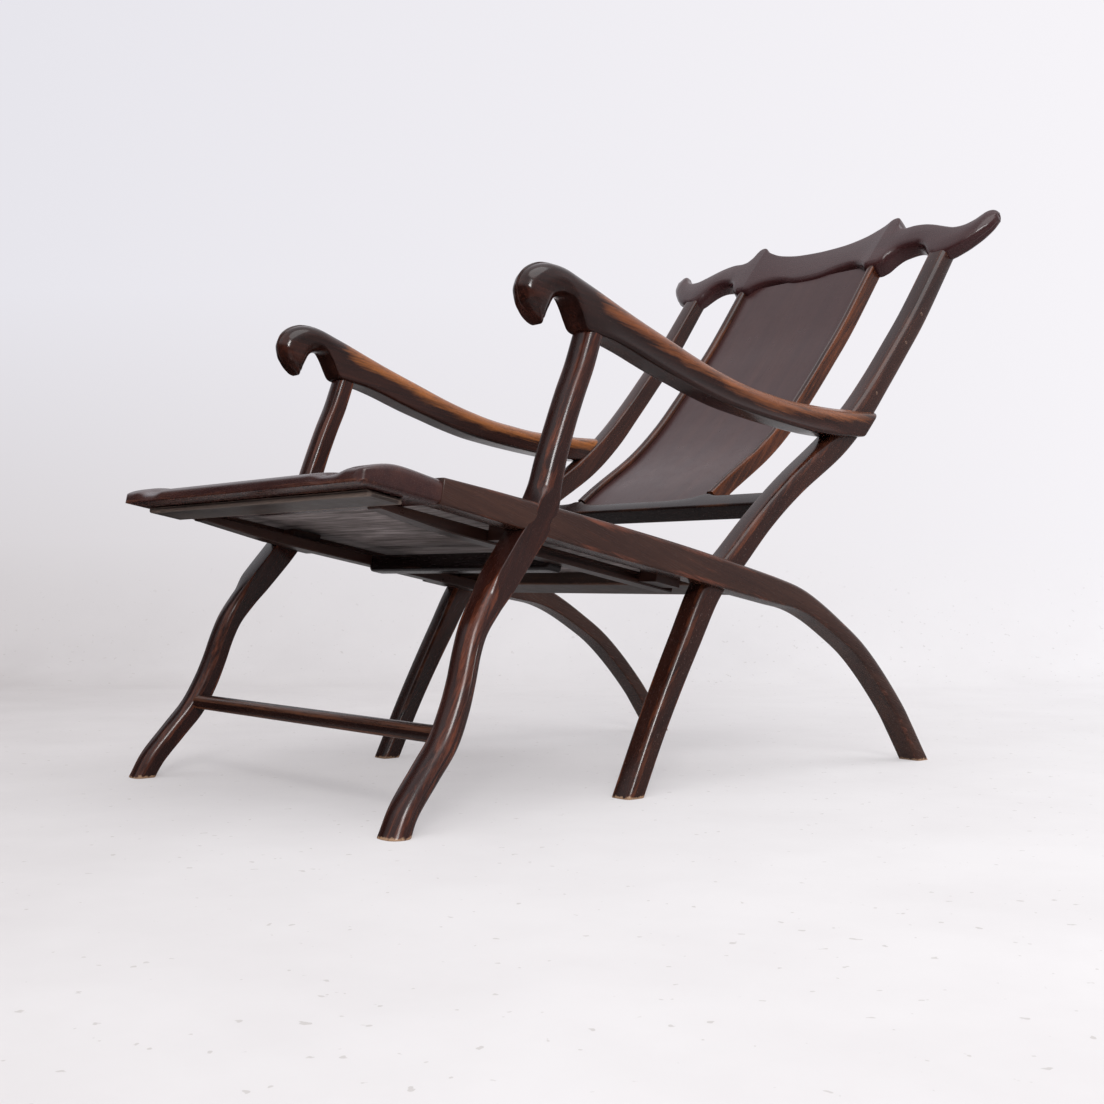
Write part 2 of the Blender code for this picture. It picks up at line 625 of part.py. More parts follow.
def seat_rail(side, material):
    """Seat rail running into the rear leg, sawn in one piece."""
    rail = side_solid("seat_rail_" + SIDE_NAMES[side], bar_outline(rail_path, foot=len(rail_path) - 1),
                      rail_inner_x, rail_outer_x, side, chair)
    return finish(rail, material, EDGE_ROUND)


def front_leg(side, material):
    """Double-curved front leg from the floor to the arm, splayed below the rail."""
    leg = side_solid("front_leg_" + SIDE_NAMES[side], bar_outline(leg_path, foot=0), rail_inner_x, rail_outer_x,
                     side, chair)
    splay(leg, side)
    return finish(leg, material, EDGE_ROUND)


def back_stile(side, material):
    """Back stile running into the middle leg, in one bent piece."""
    stile = side_solid("back_stile_" + SIDE_NAMES[side], bar_outline(stile_path, foot=0), stile_inner_x,
                       stile_outer_x, side, chair)
    return finish(stile, material, EDGE_ROUND)


def scroll_arm(side, material):
    """Arm from the back stile to a head that curls over the front leg's top."""
    arm = side_solid("arm_" + SIDE_NAMES[side], arm_outline, arm_inner_x, arm_outer_x, side, chair)
    return finish(arm, material, EDGE_ROUND)


def rail_into_front_board(rail, board, side):
    """The rail's end butts the front board, with a tenon in it."""
    tenon_y = RAIL_FRONT_Y - RAIL_TENON_LENGTH / 2
    tenon_z = seat_under(tenon_y) + FRONT_BOARD_THICKNESS / 2
    place = Matrix.Translation((side * OUTER_PLANE_X, 0, 0)) @ tilted(tenon_y, tenon_z, SEAT_SLOPE)
    size = (RAIL_TENON_THICKNESS, 2 * RAIL_TENON_LENGTH, RAIL_TENON_HEIGHT)
    space = tuple(length + 2 * FIT for length in size)
    join(rail, as_cutter(block("rail_tenon_" + SIDE_NAMES[side], size, place, cutters)))
    cut(board, as_cutter(block("rail_mortise_" + SIDE_NAMES[side], space, place, cutters)))


def leg_lapped_with_rail(leg, rail, side):
    """Half lap: the leg takes the outer half of the rail's thickness."""
    name = SIDE_NAMES[side]
    cut(rail, as_cutter(side_solid("leg_lap_" + name, bar_outline(leg_path, FIT), OUTER_PLANE_X - FIT / 2,
                                   rail_outer_x + CUT_OVERRUN, side, cutters)))
    cut(leg, as_cutter(side_solid("rail_lap_" + name, bar_outline(rail_path, FIT), rail_inner_x - CUT_OVERRUN,
                                  OUTER_PLANE_X + FIT / 2, side, cutters)))


def stile_lapped_with_rail(stile, rail, side):
    """Lap: the stile takes the inner part of the rail's thickness."""
    name = SIDE_NAMES[side]
    cut(rail, as_cutter(side_solid("stile_lap_" + name, bar_outline(stile_path, FIT), stile_inner_x - CUT_OVERRUN,
                                   RAIL_LAP_X, side, cutters)))
    cut(stile, as_cutter(side_solid("rail_lap_inner_" + name, bar_outline(rail_path, FIT), RAIL_LAP_X - FIT,
                                    stile_outer_x + CUT_OVERRUN, side, cutters)))


def arm_on_leg_and_stile(arm, stile, side):
    """The leg's top is let into the arm, and the arm laps over the stile's outer side."""
    name = SIDE_NAMES[side]
    cut(arm, as_cutter(side_solid("leg_top_space_" + name, bar_outline(leg_path, FIT), rail_inner_x - FIT,
                                  rail_outer_x + FIT, side, cutters)))
    cut(arm, as_cutter(side_solid("stile_lap_arm_" + name, bar_outline(stile_path, FIT),
                                  stile_inner_x - CUT_OVERRUN, ARM_LAP_X, side, cutters)))
    cut(stile, as_cutter(side_solid("arm_space_" + name, grown(arm_outline, FIT), ARM_LAP_X - FIT,
                                    arm_outer_x + CUT_OVERRUN, side, cutters)))


def slim_stile_joints(slim, crest, lower_rail, panel_space, side):
    """Tenons into the crest and the lower rail, and the panel's groove."""
    ends = (("slim_top_", stile_top + crest_along * SLIM_SHOULDER_REACH, crest_along, crest),
            ("slim_foot_", lower_shoulder, lower_along, lower_rail))
    for name, point, along, holder in ends:
        join(slim, slim_tenon(name + "tenon_", point, along, side))
        cut(holder, slim_tenon(name + "mortise_", point, along, side, FIT))
    cut(slim, panel_space)
    cut(crest, splat_stile_space(side))


def lap_pin(side, rail, leg, material):
    """Pin through the lap of front leg and rail."""
    name = "lap_pin_" + SIDE_NAMES[side]
    hole = as_cutter(pin(name + "_hole", PIN_RADIUS + FIT, pin_low_x - FIT, rail_outer_x + CUT_OVERRUN, pin_point,
                         side, cutters))
    cut(rail, hole)
    cut(leg, hole)
    return finish(pin(name, PIN_RADIUS, pin_low_x, rail_outer_x, pin_point, side, chair), material, FIT, 1)


def stile_peg(place_name, share, side, stile, material):
    """Peg in the back stile's outer face."""
    name = f"stile_peg_{place_name}_{SIDE_NAMES[side]}"
    point = at_height(stile_path, STILE_HEIGHT * share)[0]
    cut(stile, as_cutter(pin(name + "_hole", PEG_RADIUS + FIT, peg_low_x - FIT, stile_outer_x + CUT_OVERRUN, point,
                             side, cutters)))
    return finish(pin(name, PEG_RADIUS, peg_low_x, stile_outer_x, point, side, chair), material, FIT, 1)


def footrest_keeper(place_name, front_y, side, material):
    """Block on the seat rail's inner face, its tongue in the groove of the footrest's runner."""
    inner, outer = runner_outer_x + FIT, rail_inner_x - FIT
    top = SEAT_PANEL_LIFT - FIT
    tip = runner_outer_x - TONGUE_REACH
    low = -TONGUE_DROP - TONGUE_HEIGHT
    outline = [(outer, top), (outer, -KEEPER_DROP), (inner, -KEEPER_DROP), (inner, low), (tip, low),
               (tip, -TONGUE_DROP), (inner, -TONGUE_DROP), (inner, top)]
    place = tilted(front_y, seat_under(front_y), SEAT_SLOPE) @ Matrix.Rotation(math.pi / 2, 4, "X")
    keeper = flat_solid(f"footrest_keeper_{place_name}_{SIDE_NAMES[side]}", [(side * x, z) for x, z in outline],
                        -KEEPER_LENGTH, 0, place, chair)
    return finish(keeper, material, FIT, 1)


def footrest_slide():
    """Empty at the front of the footrest, which the footrest's pieces follow along the seat's slope."""
    slide = bpy.data.objects.new("footrest_slide", None)
    chair.objects.link(slide)
    slide.location = (0, FOOTREST_FRONT_Y, seat_under(FOOTREST_FRONT_Y) - SLIDE_GAP)
    bpy.context.view_layer.update()
    return slide


def footrest_front_rail(material):
    rail = seat_slab("footrest_front_rail", FOOTREST_FRONT_Y, footrest_front_rear_y, FOOTREST_FRONT_HALF_WIDTH,
                     -SLIDE_GAP - FOOTREST_FRONT_THICKNESS, FOOTREST_FRONT_THICKNESS, chair)
    return finish(rail, material, SMALL_ROUND)


def footrest_batten(material):
    return finish(seat_slab("footrest_batten", *batten_args, chair), material, SMALL_ROUND)


def footrest_runner(side, material):
    """Runner of the footrest, thin at the front, with a groove for the keepers' tongues in its outer side."""
    drop = -SLIDE_GAP - RUNNER_THICKNESS
    outline = [(0, -SLIDE_GAP), (0, -SLIDE_GAP - FOOTREST_FRONT_THICKNESS), (RUNNER_TAPER_LENGTH, drop),
               (runner_length, drop), (runner_length, -SLIDE_GAP)]
    place = tilted(runner_front_y, seat_under(runner_front_y), SEAT_SLOPE) @ SIDE_PLANE
    low, high = sorted((side * RUNNER_INNER_X, side * runner_outer_x))
    runner = flat_solid("footrest_runner_" + SIDE_NAMES[side], outline, low, high, place, chair)
    finish(runner, material, RUNNER_ROUND, 1)
    cut(runner, as_cutter(seat_slab("footrest_batten_space_" + SIDE_NAMES[side], *batten_args, cutters, grow=FIT)))
    cut(runner, runner_groove(side))
    return runner


def runner_groove(side):
    """Groove of a runner: its closed front end meets the front keeper's tongue when the footrest is in."""
    top, bottom = -TONGUE_DROP + SLIDE_GAP, -TONGUE_DROP - TONGUE_HEIGHT - SLIDE_GAP
    outline = [(0, top), (0, bottom), (runner_length, bottom), (runner_length, top)]
    groove_y = KEEPER_FRONT_Y - FIT
    place = tilted(groove_y, seat_under(groove_y), SEAT_SLOPE) @ SIDE_PLANE
    low, high = sorted((side * (runner_outer_x - TONGUE_REACH - FIT), side * (runner_outer_x + CUT_OVERRUN)))
    return as_cutter(flat_solid("runner_groove_" + SIDE_NAMES[side], outline, low, high, place, cutters))


def stand_in_the_middle():
    """Parents everything to one empty and moves the middle of the chair over the origin."""
    bpy.context.view_layer.update()
    pieces = [thing for thing in chair.objects if thing.type == "MESH"]
    depths = [(thing.matrix_world @ Vector(corner)).y for thing in pieces for corner in thing.bound_box]
    root = bpy.data.objects.new("chair_middle", None)
    chair.objects.link(root)
    for thing in list(chair.objects) + list(cutters.objects):
        if thing is not root and thing.parent is None:
            thing.parent = root
    root.location.y = -(min(depths) + max(depths)) / 2
    bpy.context.view_layer.update()


lacquer = dark_lacquer()
worn = worn_lacquer()
peg_finish = peg_wood()

# Back: crest, lower rail and panel
crest = crest_rail(lacquer)
cut(crest, crest_hollow())
lower_rail = lower_back_rail(lacquer)
lower_rail_space = as_cutter(lower_rail_solid("lower_back_rail_space", FIT, cutters))
splat_panel(panel_lacquer())
panel_space = splat_panel_space()
cut(crest, panel_space)
cut(lower_rail, panel_space)

# Seat: panel and boards
seat = seat_panel(raw_underside())
seat_space = as_cutter(seat_slab("seat_panel_space", *seat_panel_args, cutters, grow=FIT))
front_board = seat_front_board(lacquer)
front_board_space = seat_front_board_space()
rear_board = seat_rear_board(lacquer)
rear_board_space = as_cutter(seat_slab("seat_rear_board_space", *rear_board_args, cutters, grow=FIT))
cut(front_board, seat_space)
cut(rear_board, seat_space)

front_stretcher(lacquer)
stretcher_space = front_stretcher_space()

for side in SIDE_NAMES:
    # Rail, leg and stile, halved together
    rail = seat_rail(side, worn)
    cut(rail, front_board_space)
    rail_into_front_board(rail, front_board, side)
    leg = front_leg(side, worn)
    leg_lapped_with_rail(leg, rail, side)
    cut(leg, stretcher_space)
    stile = back_stile(side, worn)
    stile_lapped_with_rail(stile, rail, side)
    stile_space = as_cutter(side_solid("stile_space_" + SIDE_NAMES[side], bar_outline(stile_path, FIT),
                                       stile_inner_x - FIT, stile_outer_x + FIT, side, cutters))
    cut(crest, stile_space)
    cut(seat, stile_space)
    cut(stile, lower_rail_space)
    cut(stile, rear_board_space)
    cut(rail, seat_space)

    # Arm, slim stile, pins and pegs
    arm = scroll_arm(side, lacquer)
    arm_on_leg_and_stile(arm, stile, side)
    slim = splat_stile(side, lacquer)
    slim_stile_joints(slim, crest, lower_rail, panel_space, side)
    lap_pin(side, rail, leg, peg_finish)
    for place_name, share in PEG_STILE_SHARES.items():
        stile_peg(place_name, share, side, stile, peg_finish)
    footrest_keeper("front", KEEPER_FRONT_Y, side, lacquer)
    footrest_keeper("rear", rear_keeper_y, side, lacquer)

# Footrest, carried by the keepers
footrest_parts = [footrest_front_rail(lacquer), footrest_batten(lacquer)]
footrest_parts += [footrest_runner(side, lacquer) for side in SIDE_NAMES]
slide = footrest_slide()
for piece in footrest_parts:
    piece.parent = slide
    piece.matrix_parent_inverse = slide.matrix_world.inverted()

stand_in_the_middle()
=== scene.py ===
"""Lounge chair in dark rosewood, dressed over its CAD frame.

Lengths are metres. Tables of points are millimetres: those of the side view say how far back from the front
feet and how high, and a bar's table adds its width there.
"""
import math

import bpy
import numpy as np
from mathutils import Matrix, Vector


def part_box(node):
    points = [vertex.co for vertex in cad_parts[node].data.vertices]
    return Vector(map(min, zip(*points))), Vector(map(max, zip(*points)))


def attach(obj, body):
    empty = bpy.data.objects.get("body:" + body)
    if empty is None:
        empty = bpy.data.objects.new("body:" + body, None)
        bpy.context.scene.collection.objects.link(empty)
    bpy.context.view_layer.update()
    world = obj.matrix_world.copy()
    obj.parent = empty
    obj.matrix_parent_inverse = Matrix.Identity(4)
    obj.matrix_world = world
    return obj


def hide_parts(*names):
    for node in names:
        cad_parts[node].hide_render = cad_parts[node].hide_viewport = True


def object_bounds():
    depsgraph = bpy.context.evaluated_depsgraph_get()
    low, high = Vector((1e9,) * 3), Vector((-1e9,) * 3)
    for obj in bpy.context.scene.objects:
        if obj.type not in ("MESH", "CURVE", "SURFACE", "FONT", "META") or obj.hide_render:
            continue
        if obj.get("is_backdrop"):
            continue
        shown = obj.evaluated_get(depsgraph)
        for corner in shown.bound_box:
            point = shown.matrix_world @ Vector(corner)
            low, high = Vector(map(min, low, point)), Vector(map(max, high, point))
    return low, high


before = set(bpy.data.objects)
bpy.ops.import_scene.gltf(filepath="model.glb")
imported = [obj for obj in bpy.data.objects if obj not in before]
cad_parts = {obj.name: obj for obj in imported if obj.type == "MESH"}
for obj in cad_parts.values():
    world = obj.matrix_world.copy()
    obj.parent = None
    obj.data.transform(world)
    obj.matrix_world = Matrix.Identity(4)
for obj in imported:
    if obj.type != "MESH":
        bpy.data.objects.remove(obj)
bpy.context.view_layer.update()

# Seat rails: each is sawn in one piece with its rear leg from a thick rosewood board.
# The grain runs straight through the board, so the arch of the leg cuts across it.
# MIDDLE is where the middle of the chair's length lies in the side view.
SIDES = {"left": 1, "right": -1}
MIDDLE = 0.59906
CURVE_STEPS = 10
FOOT_CUT = 0.03
RAIL_MIDDLE_X = 0.288
RAIL_HALF = 0.019
RAIL_GRAIN = (math.radians(20), 0, 0)
RAIL_WORN = ((0.2, 0.33, 0.38, 0.04), (0.14, 0.48, 0.55, 0.05))
RAIL_CURVE = (
    (1037, 0, 22.7), (1001.2, 50, 22.7), (973.8, 86, 22.7), (924.8, 138, 23.1), (876.8, 180.2, 23.9),
    (827.8, 212, 25.2), (780.6, 238.7, 27.7), (737.3, 257.3, 31.9), (690.2, 268.9, 36.5), (610, 286, 39.9),
    (519.6, 305.4, 41.2), (430, 323.2, 42), (300, 348.4, 40.7), (200.1, 368.1, 36.1), (94.5, 387.5, 31.9),
)


def curve_through(points, steps):
    """Smooth curve through rows of numbers: on each span a cubic whose slope at a point is half the step
    between the point's two neighbours."""
    p = np.asarray(points, float)
    p = np.vstack((2 * p[:1] - p[1:2], p, 2 * p[-1:] - p[-2:-1]))
    a, b, c, d = (p[i:len(p) - 3 + i, None, :] for i in range(4))
    t = (np.arange(steps) / steps)[None, :, None]
    spans = 0.5 * (2 * b + (c - a) * t + (2 * a - 5 * b + 4 * c - d) * t ** 2 + (3 * b - a - 3 * c + d) * t ** 3)
    return np.vstack((spans.reshape(-1, p.shape[1]), p[-2:-1]))


def to_scene(side_view):
    """Side-view millimetres to metres, with the middle of the chair over the origin."""
    p = np.asarray(side_view, float) / 1000
    return np.column_stack((p[:, 0] - MIDDLE, p[:, 1]))


def eased(share):
    """A share from 0 to 1 that starts and stops softly: three times its square less twice its cube."""
    return share * share * (3 - 2 * share)


def square_to(line):
    """Unit direction square to a line at each of its points: its slope there, turned a quarter."""
    slope = np.gradient(line, axis=0)
    slope /= np.linalg.norm(slope, axis=1)[:, None]
    return np.column_stack((-slope[:, 1], slope[:, 0]))


def bar_edges(curve):
    """Two edges of a bar: its middle line plus and minus half its width, square to the line. Over FOOT_CUT
    from the foot, the cut turns level."""
    rows = curve_through(curve, CURVE_STEPS)
    middle, half = to_scene(rows[:, :2]), rows[:, 2] / 2000
    square = square_to(middle)
    run = np.concatenate(([0], np.cumsum(np.linalg.norm(np.diff(middle, axis=0), axis=1))))
    turned = eased(np.clip(1 - run / FOOT_CUT, 0, 1))[:, None]
    level = np.array([[math.copysign(1, square[0, 0]), 0]])
    across = square * (1 - turned) + level * turned
    across *= (half / (across * square).sum(axis=1))[:, None]
    return middle + across, middle - across


def between(value, low, high, soft):
    """1 between low and high, falling smoothly to 0 over a soft length outside them."""
    rise = np.clip((value - low) / soft + 1, 0, 1)
    fall = np.clip((high - value) / soft + 1, 0, 1)
    return eased(np.minimum(rise, fall))


def columns(like, *values):
    """One column for each value, a number or an array, with as many rows as the array like has."""
    return np.column_stack([np.broadcast_to(value, len(like)) for value in values])


ARC_STEPS = 6
FLAT_STEPS = 4
ROUND_LIMIT = 0.96


def ring_shape(half_across, half_deep, radii, crowns):
    """Rings of a rectangle with rounded corners: quarter circles at the four corners, straight sides between
    them that bulge by a crown as a parabola. Returns the ring points and a mask that is 1 on the corners."""
    radii = np.minimum(radii, np.minimum(half_across, half_deep)[:, None] * ROUND_LIMIT)
    signs = ((1, 1), (-1, 1), (-1, -1), (1, -1))
    outward = ((0, 1), (-1, 0), (0, -1), (1, 0))
    corners = []
    for k, (su, sv) in enumerate(signs):
        angle = math.pi / 2 * (k + np.arange(ARC_STEPS + 1) / ARC_STEPS)
        centre = np.stack((su * (half_across - radii[:, k]), sv * (half_deep - radii[:, k])), axis=1)
        arm = np.stack((np.cos(angle), np.sin(angle)), axis=1)
        corners.append(centre[:, None, :] + radii[:, k, None, None] * arm[None])
    t = (np.arange(1, FLAT_STEPS + 1) / (FLAT_STEPS + 1))[None, :, None]
    t = 0.5 - 0.5 * np.cos(math.pi * t)
    ring, mask = [], []
    for k in range(4):
        start, end = corners[k][:, -1:, :], corners[(k + 1) % 4][:, :1, :]
        side = start + (end - start) * t
        side = side + crowns[:, k, None, None] * (1 - (2 * t - 1) ** 2) * np.array(outward[k])
        ring += [corners[k], side]
        mask += [np.ones(ARC_STEPS + 1), np.zeros(FLAT_STEPS)]
    return np.concatenate(ring, axis=1), np.concatenate(mask)


SHARP_ANGLE = math.radians(40)


def skin(name, rings, edge, rub=0.0):
    """Closed body through rings of points: quads between neighbouring rings and one face on each end. Faces
    are turned outwards by the sign of the enclosed volume. Edge and rub say where the lacquer wears off."""
    rows, count = rings.shape[:2]
    a = np.arange((rows - 1) * count).reshape(rows - 1, count)
    b = np.roll(a, -1, axis=1)
    quads = np.stack((a, b, b + count, a + count), axis=2).reshape(-1, 4)
    points = rings.reshape(-1, 3)
    fan = points[quads]
    normals = np.cross(fan[:, 1] - fan[:, 0], fan[:, 2] - fan[:, 0])
    volume = (normals * (fan[:, 0] - points.mean(axis=0))).sum()
    caps = [list(range(count))[::-1], list(range((rows - 1) * count, rows * count))]
    faces = quads.tolist() + caps
    if volume < 0:
        faces = [face[::-1] for face in faces]
    mesh = bpy.data.meshes.new(name)
    mesh.from_pydata(points.tolist(), [], faces)
    mesh.shade_smooth()
    mesh.set_sharp_from_angle(angle=SHARP_ANGLE)
    for key, value in (("edge", edge), ("rub", rub)):
        spread = np.broadcast_to(np.asarray(value, np.float32), (rows, count)).ravel()
        mesh.attributes.new(key, "FLOAT", "POINT").data.foreach_set("value", spread)
    piece = bpy.data.objects.new(name, mesh)
    bpy.context.scene.collection.objects.link(piece)
    return piece


END_STEPS = 6
LEAST_ROUND = 0.0004
HALF_COLUMN, DEEP_COLUMN, MIDDLE_COLUMN = 4, 5, 6
ROUND_COLUMNS, CROWN_COLUMNS = slice(7, 11), slice(11, 15)


def carved_bar(name, place, upper, lower, middle, half_deep, radii, crowns, ends, rub=None):
    """Bar carved from a board: a rectangle with rounded corners is carried along the bar's two edges, and
    drawn in at each end along a quarter circle of the end's radius. Upper and lower are the edges in the
    board's plane, middle and half_deep lie across it, and place turns both into points. Corners run: upper
    outer, lower outer, lower inner, upper inner; crowns: outer side, lower side, inner side, upper side."""
    line, span = (upper + lower) / 2, (upper - lower) / 2
    half = np.linalg.norm(span, axis=1)
    across = span / half[:, None]
    rows = len(half)
    table = np.column_stack((line, across, half, np.broadcast_to(half_deep, rows), np.broadcast_to(middle, rows),
                             np.broadcast_to(radii, (rows, 4)), np.broadcast_to(crowns, (rows, 4))))
    turn = np.linspace(0, math.pi / 2, END_STEPS)
    for end, radius in zip((0, -1), ends):
        if not radius:
            continue
        way = line[end] - line[1 if end == 0 else -2]
        way = way / np.linalg.norm(way)
        extra = np.repeat(table[end][None], len(turn), axis=0)
        shrink = radius * (1 - np.cos(turn))
        extra[:, :2] += way * radius * (np.sin(turn)[:, None] - 1)
        extra[:, HALF_COLUMN] -= shrink
        extra[:, DEEP_COLUMN] -= shrink
        extra[:, ROUND_COLUMNS] = np.maximum(extra[:, ROUND_COLUMNS] - shrink[:, None] / 2, LEAST_ROUND)
        table = np.vstack((extra[::-1], table[1:])) if end == 0 else np.vstack((table[:-1], extra))
    ring, edge = ring_shape(table[:, HALF_COLUMN], table[:, DEEP_COLUMN], table[:, ROUND_COLUMNS],
                            table[:, CROWN_COLUMNS])
    flat = table[:, None, :2] + table[:, None, 2:4] * ring[:, :, :1]
    points = place(flat, table[:, None, MIDDLE_COLUMN] + ring[:, :, 1])
    return skin(name, points, edge, 0.0 if rub is None else rub(points, ring))


def side_plane(side):
    """Board that stands in the side view, its outer side away from the chair's middle."""
    return lambda flat, out: np.concatenate((side * out[:, :, None], flat), axis=2)


def node(tree, kind, inputs=(), **settings):
    """Adds a shader node, sets its properties and its inputs: a socket is linked, any other value is stored."""
    new = tree.nodes.new(kind)
    for key, value in settings.items():
        setattr(new, key, value)
    for key, value in dict(inputs).items():
        if isinstance(value, bpy.types.NodeSocket):
            tree.links.new(value, new.inputs[key])
        else:
            new.inputs[key].default_value = value
    return new


def ramp(tree, value, stops):
    """Colour ramp from (position, grey or colour) stops."""
    new = node(tree, "ShaderNodeValToRGB", {"Fac": value})
    elements = new.color_ramp.elements
    while len(elements) < len(stops):
        elements.new(0.5)
    for element, (position, colour) in zip(elements, stops):
        element.position = position
        element.color = (*colour, 1) if isinstance(colour, tuple) else (colour, colour, colour, 1)
    return new.outputs["Color"]


def mix(tree, share, first, second):
    """Colour mix of two colours or sockets."""
    new = node(tree, "ShaderNodeMix", {"Factor": share}, data_type="RGBA")
    for socket, value in ((new.inputs[6], first), (new.inputs[7], second)):
        if isinstance(value, bpy.types.NodeSocket):
            tree.links.new(value, socket)
        else:
            socket.default_value = (*value, 1)
    return new.outputs[2]


def maths(tree, operation, first, second, clamp=False):
    """One sum of two numbers or sockets, cut off at 0 and 1 where clamp is true."""
    new = node(tree, "ShaderNodeMath", {0: first, 1: second}, operation=operation)
    new.use_clamp = clamp
    return new.outputs[0]


def plus(tree, first, second, clamp=False):
    """The two added together."""
    return maths(tree, "ADD", first, second, clamp)


def times(tree, first, second, clamp=False):
    """The two multiplied."""
    return maths(tree, "MULTIPLY", first, second, clamp)


def clouds(tree, vector, scale, detail, rough=0.5, distortion=0.0):
    """Cloudy noise over some coordinates."""
    return node(tree, "ShaderNodeTexNoise", {"Vector": vector, "Scale": scale, "Detail": detail, "Roughness": rough,
                                             "Distortion": distortion}).outputs["Fac"]


DUST = (0.3, 0.23, 0.2)
WEAR_START = 0.74


def rosewood_group():
    """Rosewood under lacquer: dark and light streaks along Y of the given coordinates, broad clouds, short
    pores, patches rubbed back to the wood, and specks of dust. Puts out a colour, a roughness and a height."""
    tree = bpy.data.node_groups.new("rosewood", "ShaderNodeTree")

    def socket(name, kind, way="INPUT"):
        """Adds a socket to the group's face."""
        return tree.interface.new_socket(name, in_out=way, socket_type="NodeSocket" + kind)

    socket("Grain", "Vector")
    for name, value in (("Dark", (0.012, 0.0045, 0.0035, 1)), ("Light", (0.05, 0.017, 0.01, 1)),
                        ("Worn", (0.2, 0.07, 0.028, 1))):
        socket(name, "Color").default_value = value
    for name, value in (("Streaks", 0.75), ("Rubbed", 0.1), ("Rub Mask", 0.0), ("Gloss", 0.2), ("Dust", 0.05)):
        socket(name, "Float").default_value = value
    for name, kind in (("Color", "Color"), ("Roughness", "Float"), ("Height", "Float")):
        socket(name, kind, "OUTPUT")
    given = tree.nodes.new("NodeGroupInput").outputs

    def noise(along, scale, detail, rough=0.5, moved=(0, 0, 0), distortion=0.0):
        """Noise drawn out along the grain to one over the first number."""
        place = node(tree, "ShaderNodeMapping", {"Vector": given["Grain"], "Scale": (1, along, 1), "Location": moved})
        return clouds(tree, place.outputs["Vector"], scale, detail, rough, distortion)

    figure = noise(0.1, 34, 3, 0.55, distortion=0.5)
    fine = noise(0.03, 240, 4, 0.6, (3, 1, 2))
    cloud = noise(0.5, 6, 2, moved=(7, 2, 5))
    pores = noise(0.05, 900, 2, moved=(1, 8, 3))
    streak = plus(tree, times(tree, figure, 0.6), times(tree, fine, 0.4))
    streak = ramp(tree, streak, ((0.38, 0.0), (0.52, 0.4), (0.66, 1.0)))
    share = times(tree, streak, given["Streaks"], True)
    share = times(tree, share, ramp(tree, cloud, ((0.32, 0.35), (0.6, 1.0))))
    colour = mix(tree, share, given["Dark"], given["Light"])
    pore = ramp(tree, pores, ((0.3, 1.0), (0.42, 0.0)))
    colour = mix(tree, times(tree, pore, 0.5), colour, given["Dark"])
    broad_wear = noise(0.25, 38, 5, 0.7, (4, 4, 9), 0.3)
    fine_wear = noise(0.04, 170, 4, 0.7, (9, 2, 4))
    patches = plus(tree, times(tree, broad_wear, 0.4), times(tree, fine_wear, 0.6))
    reach = plus(tree, times(tree, given["Rub Mask"], 0.5), given["Rubbed"])
    rubbed = maths(tree, "SUBTRACT", plus(tree, patches, reach), WEAR_START)
    rubbed = times(tree, rubbed, 5.0, True)
    half_worn = mix(tree, 0.7, given["Worn"], given["Light"])
    tone = mix(tree, times(tree, streak, 0.75), half_worn, given["Worn"])
    tone = mix(tree, times(tree, pore, 0.7), tone, given["Dark"])
    colour = mix(tree, times(tree, rubbed, 0.85), colour, tone)
    specks = noise(1.0, 420, 1, moved=(2, 6, 1))
    dust = times(tree, ramp(tree, specks, ((0.69, 0.0), (0.75, 1.0))), given["Dust"])
    colour = mix(tree, dust, colour, DUST)
    smear = noise(1.0, 40, 3, 0.6, (5, 5, 5))
    rough = plus(tree, given["Gloss"], times(tree, maths(tree, "SUBTRACT", smear, 0.5), 0.14))
    rough = plus(tree, rough, times(tree, rubbed, 0.1))
    rough = plus(tree, rough, times(tree, pore, 0.1), True)
    height = maths(tree, "SUBTRACT", times(tree, fine, 0.5), times(tree, pore, 0.5))
    ends = tree.nodes.new("NodeGroupOutput").inputs
    for name, value in (("Color", colour), ("Roughness", rough), ("Height", height)):
        tree.links.new(value, ends[name])
    return tree


BARE_WOOD = (0.33, 0.2, 0.12)
LACQUER_IOR = 1.43


def new_material(name):
    """Empty material: the material, its tree, its main shader and the object's own coordinates."""
    material = bpy.data.materials.new(name)
    material.use_nodes = True
    tree = material.node_tree
    return material, tree, tree.nodes["Principled BSDF"], node(tree, "ShaderNodeTexCoord").outputs["Object"]


def mesh_mask(tree, name):
    """A mask that the mesh carries."""
    return node(tree, "ShaderNodeAttribute", attribute_name=name).outputs["Fac"]


def roughen(tree, shader, height, strength, distance):
    """Lets a height tip the shader's normal."""
    bumped = node(tree, "ShaderNodeBump", {"Height": height, "Strength": strength, "Distance": distance})
    tree.links.new(bumped.outputs["Normal"], shader.inputs["Normal"])


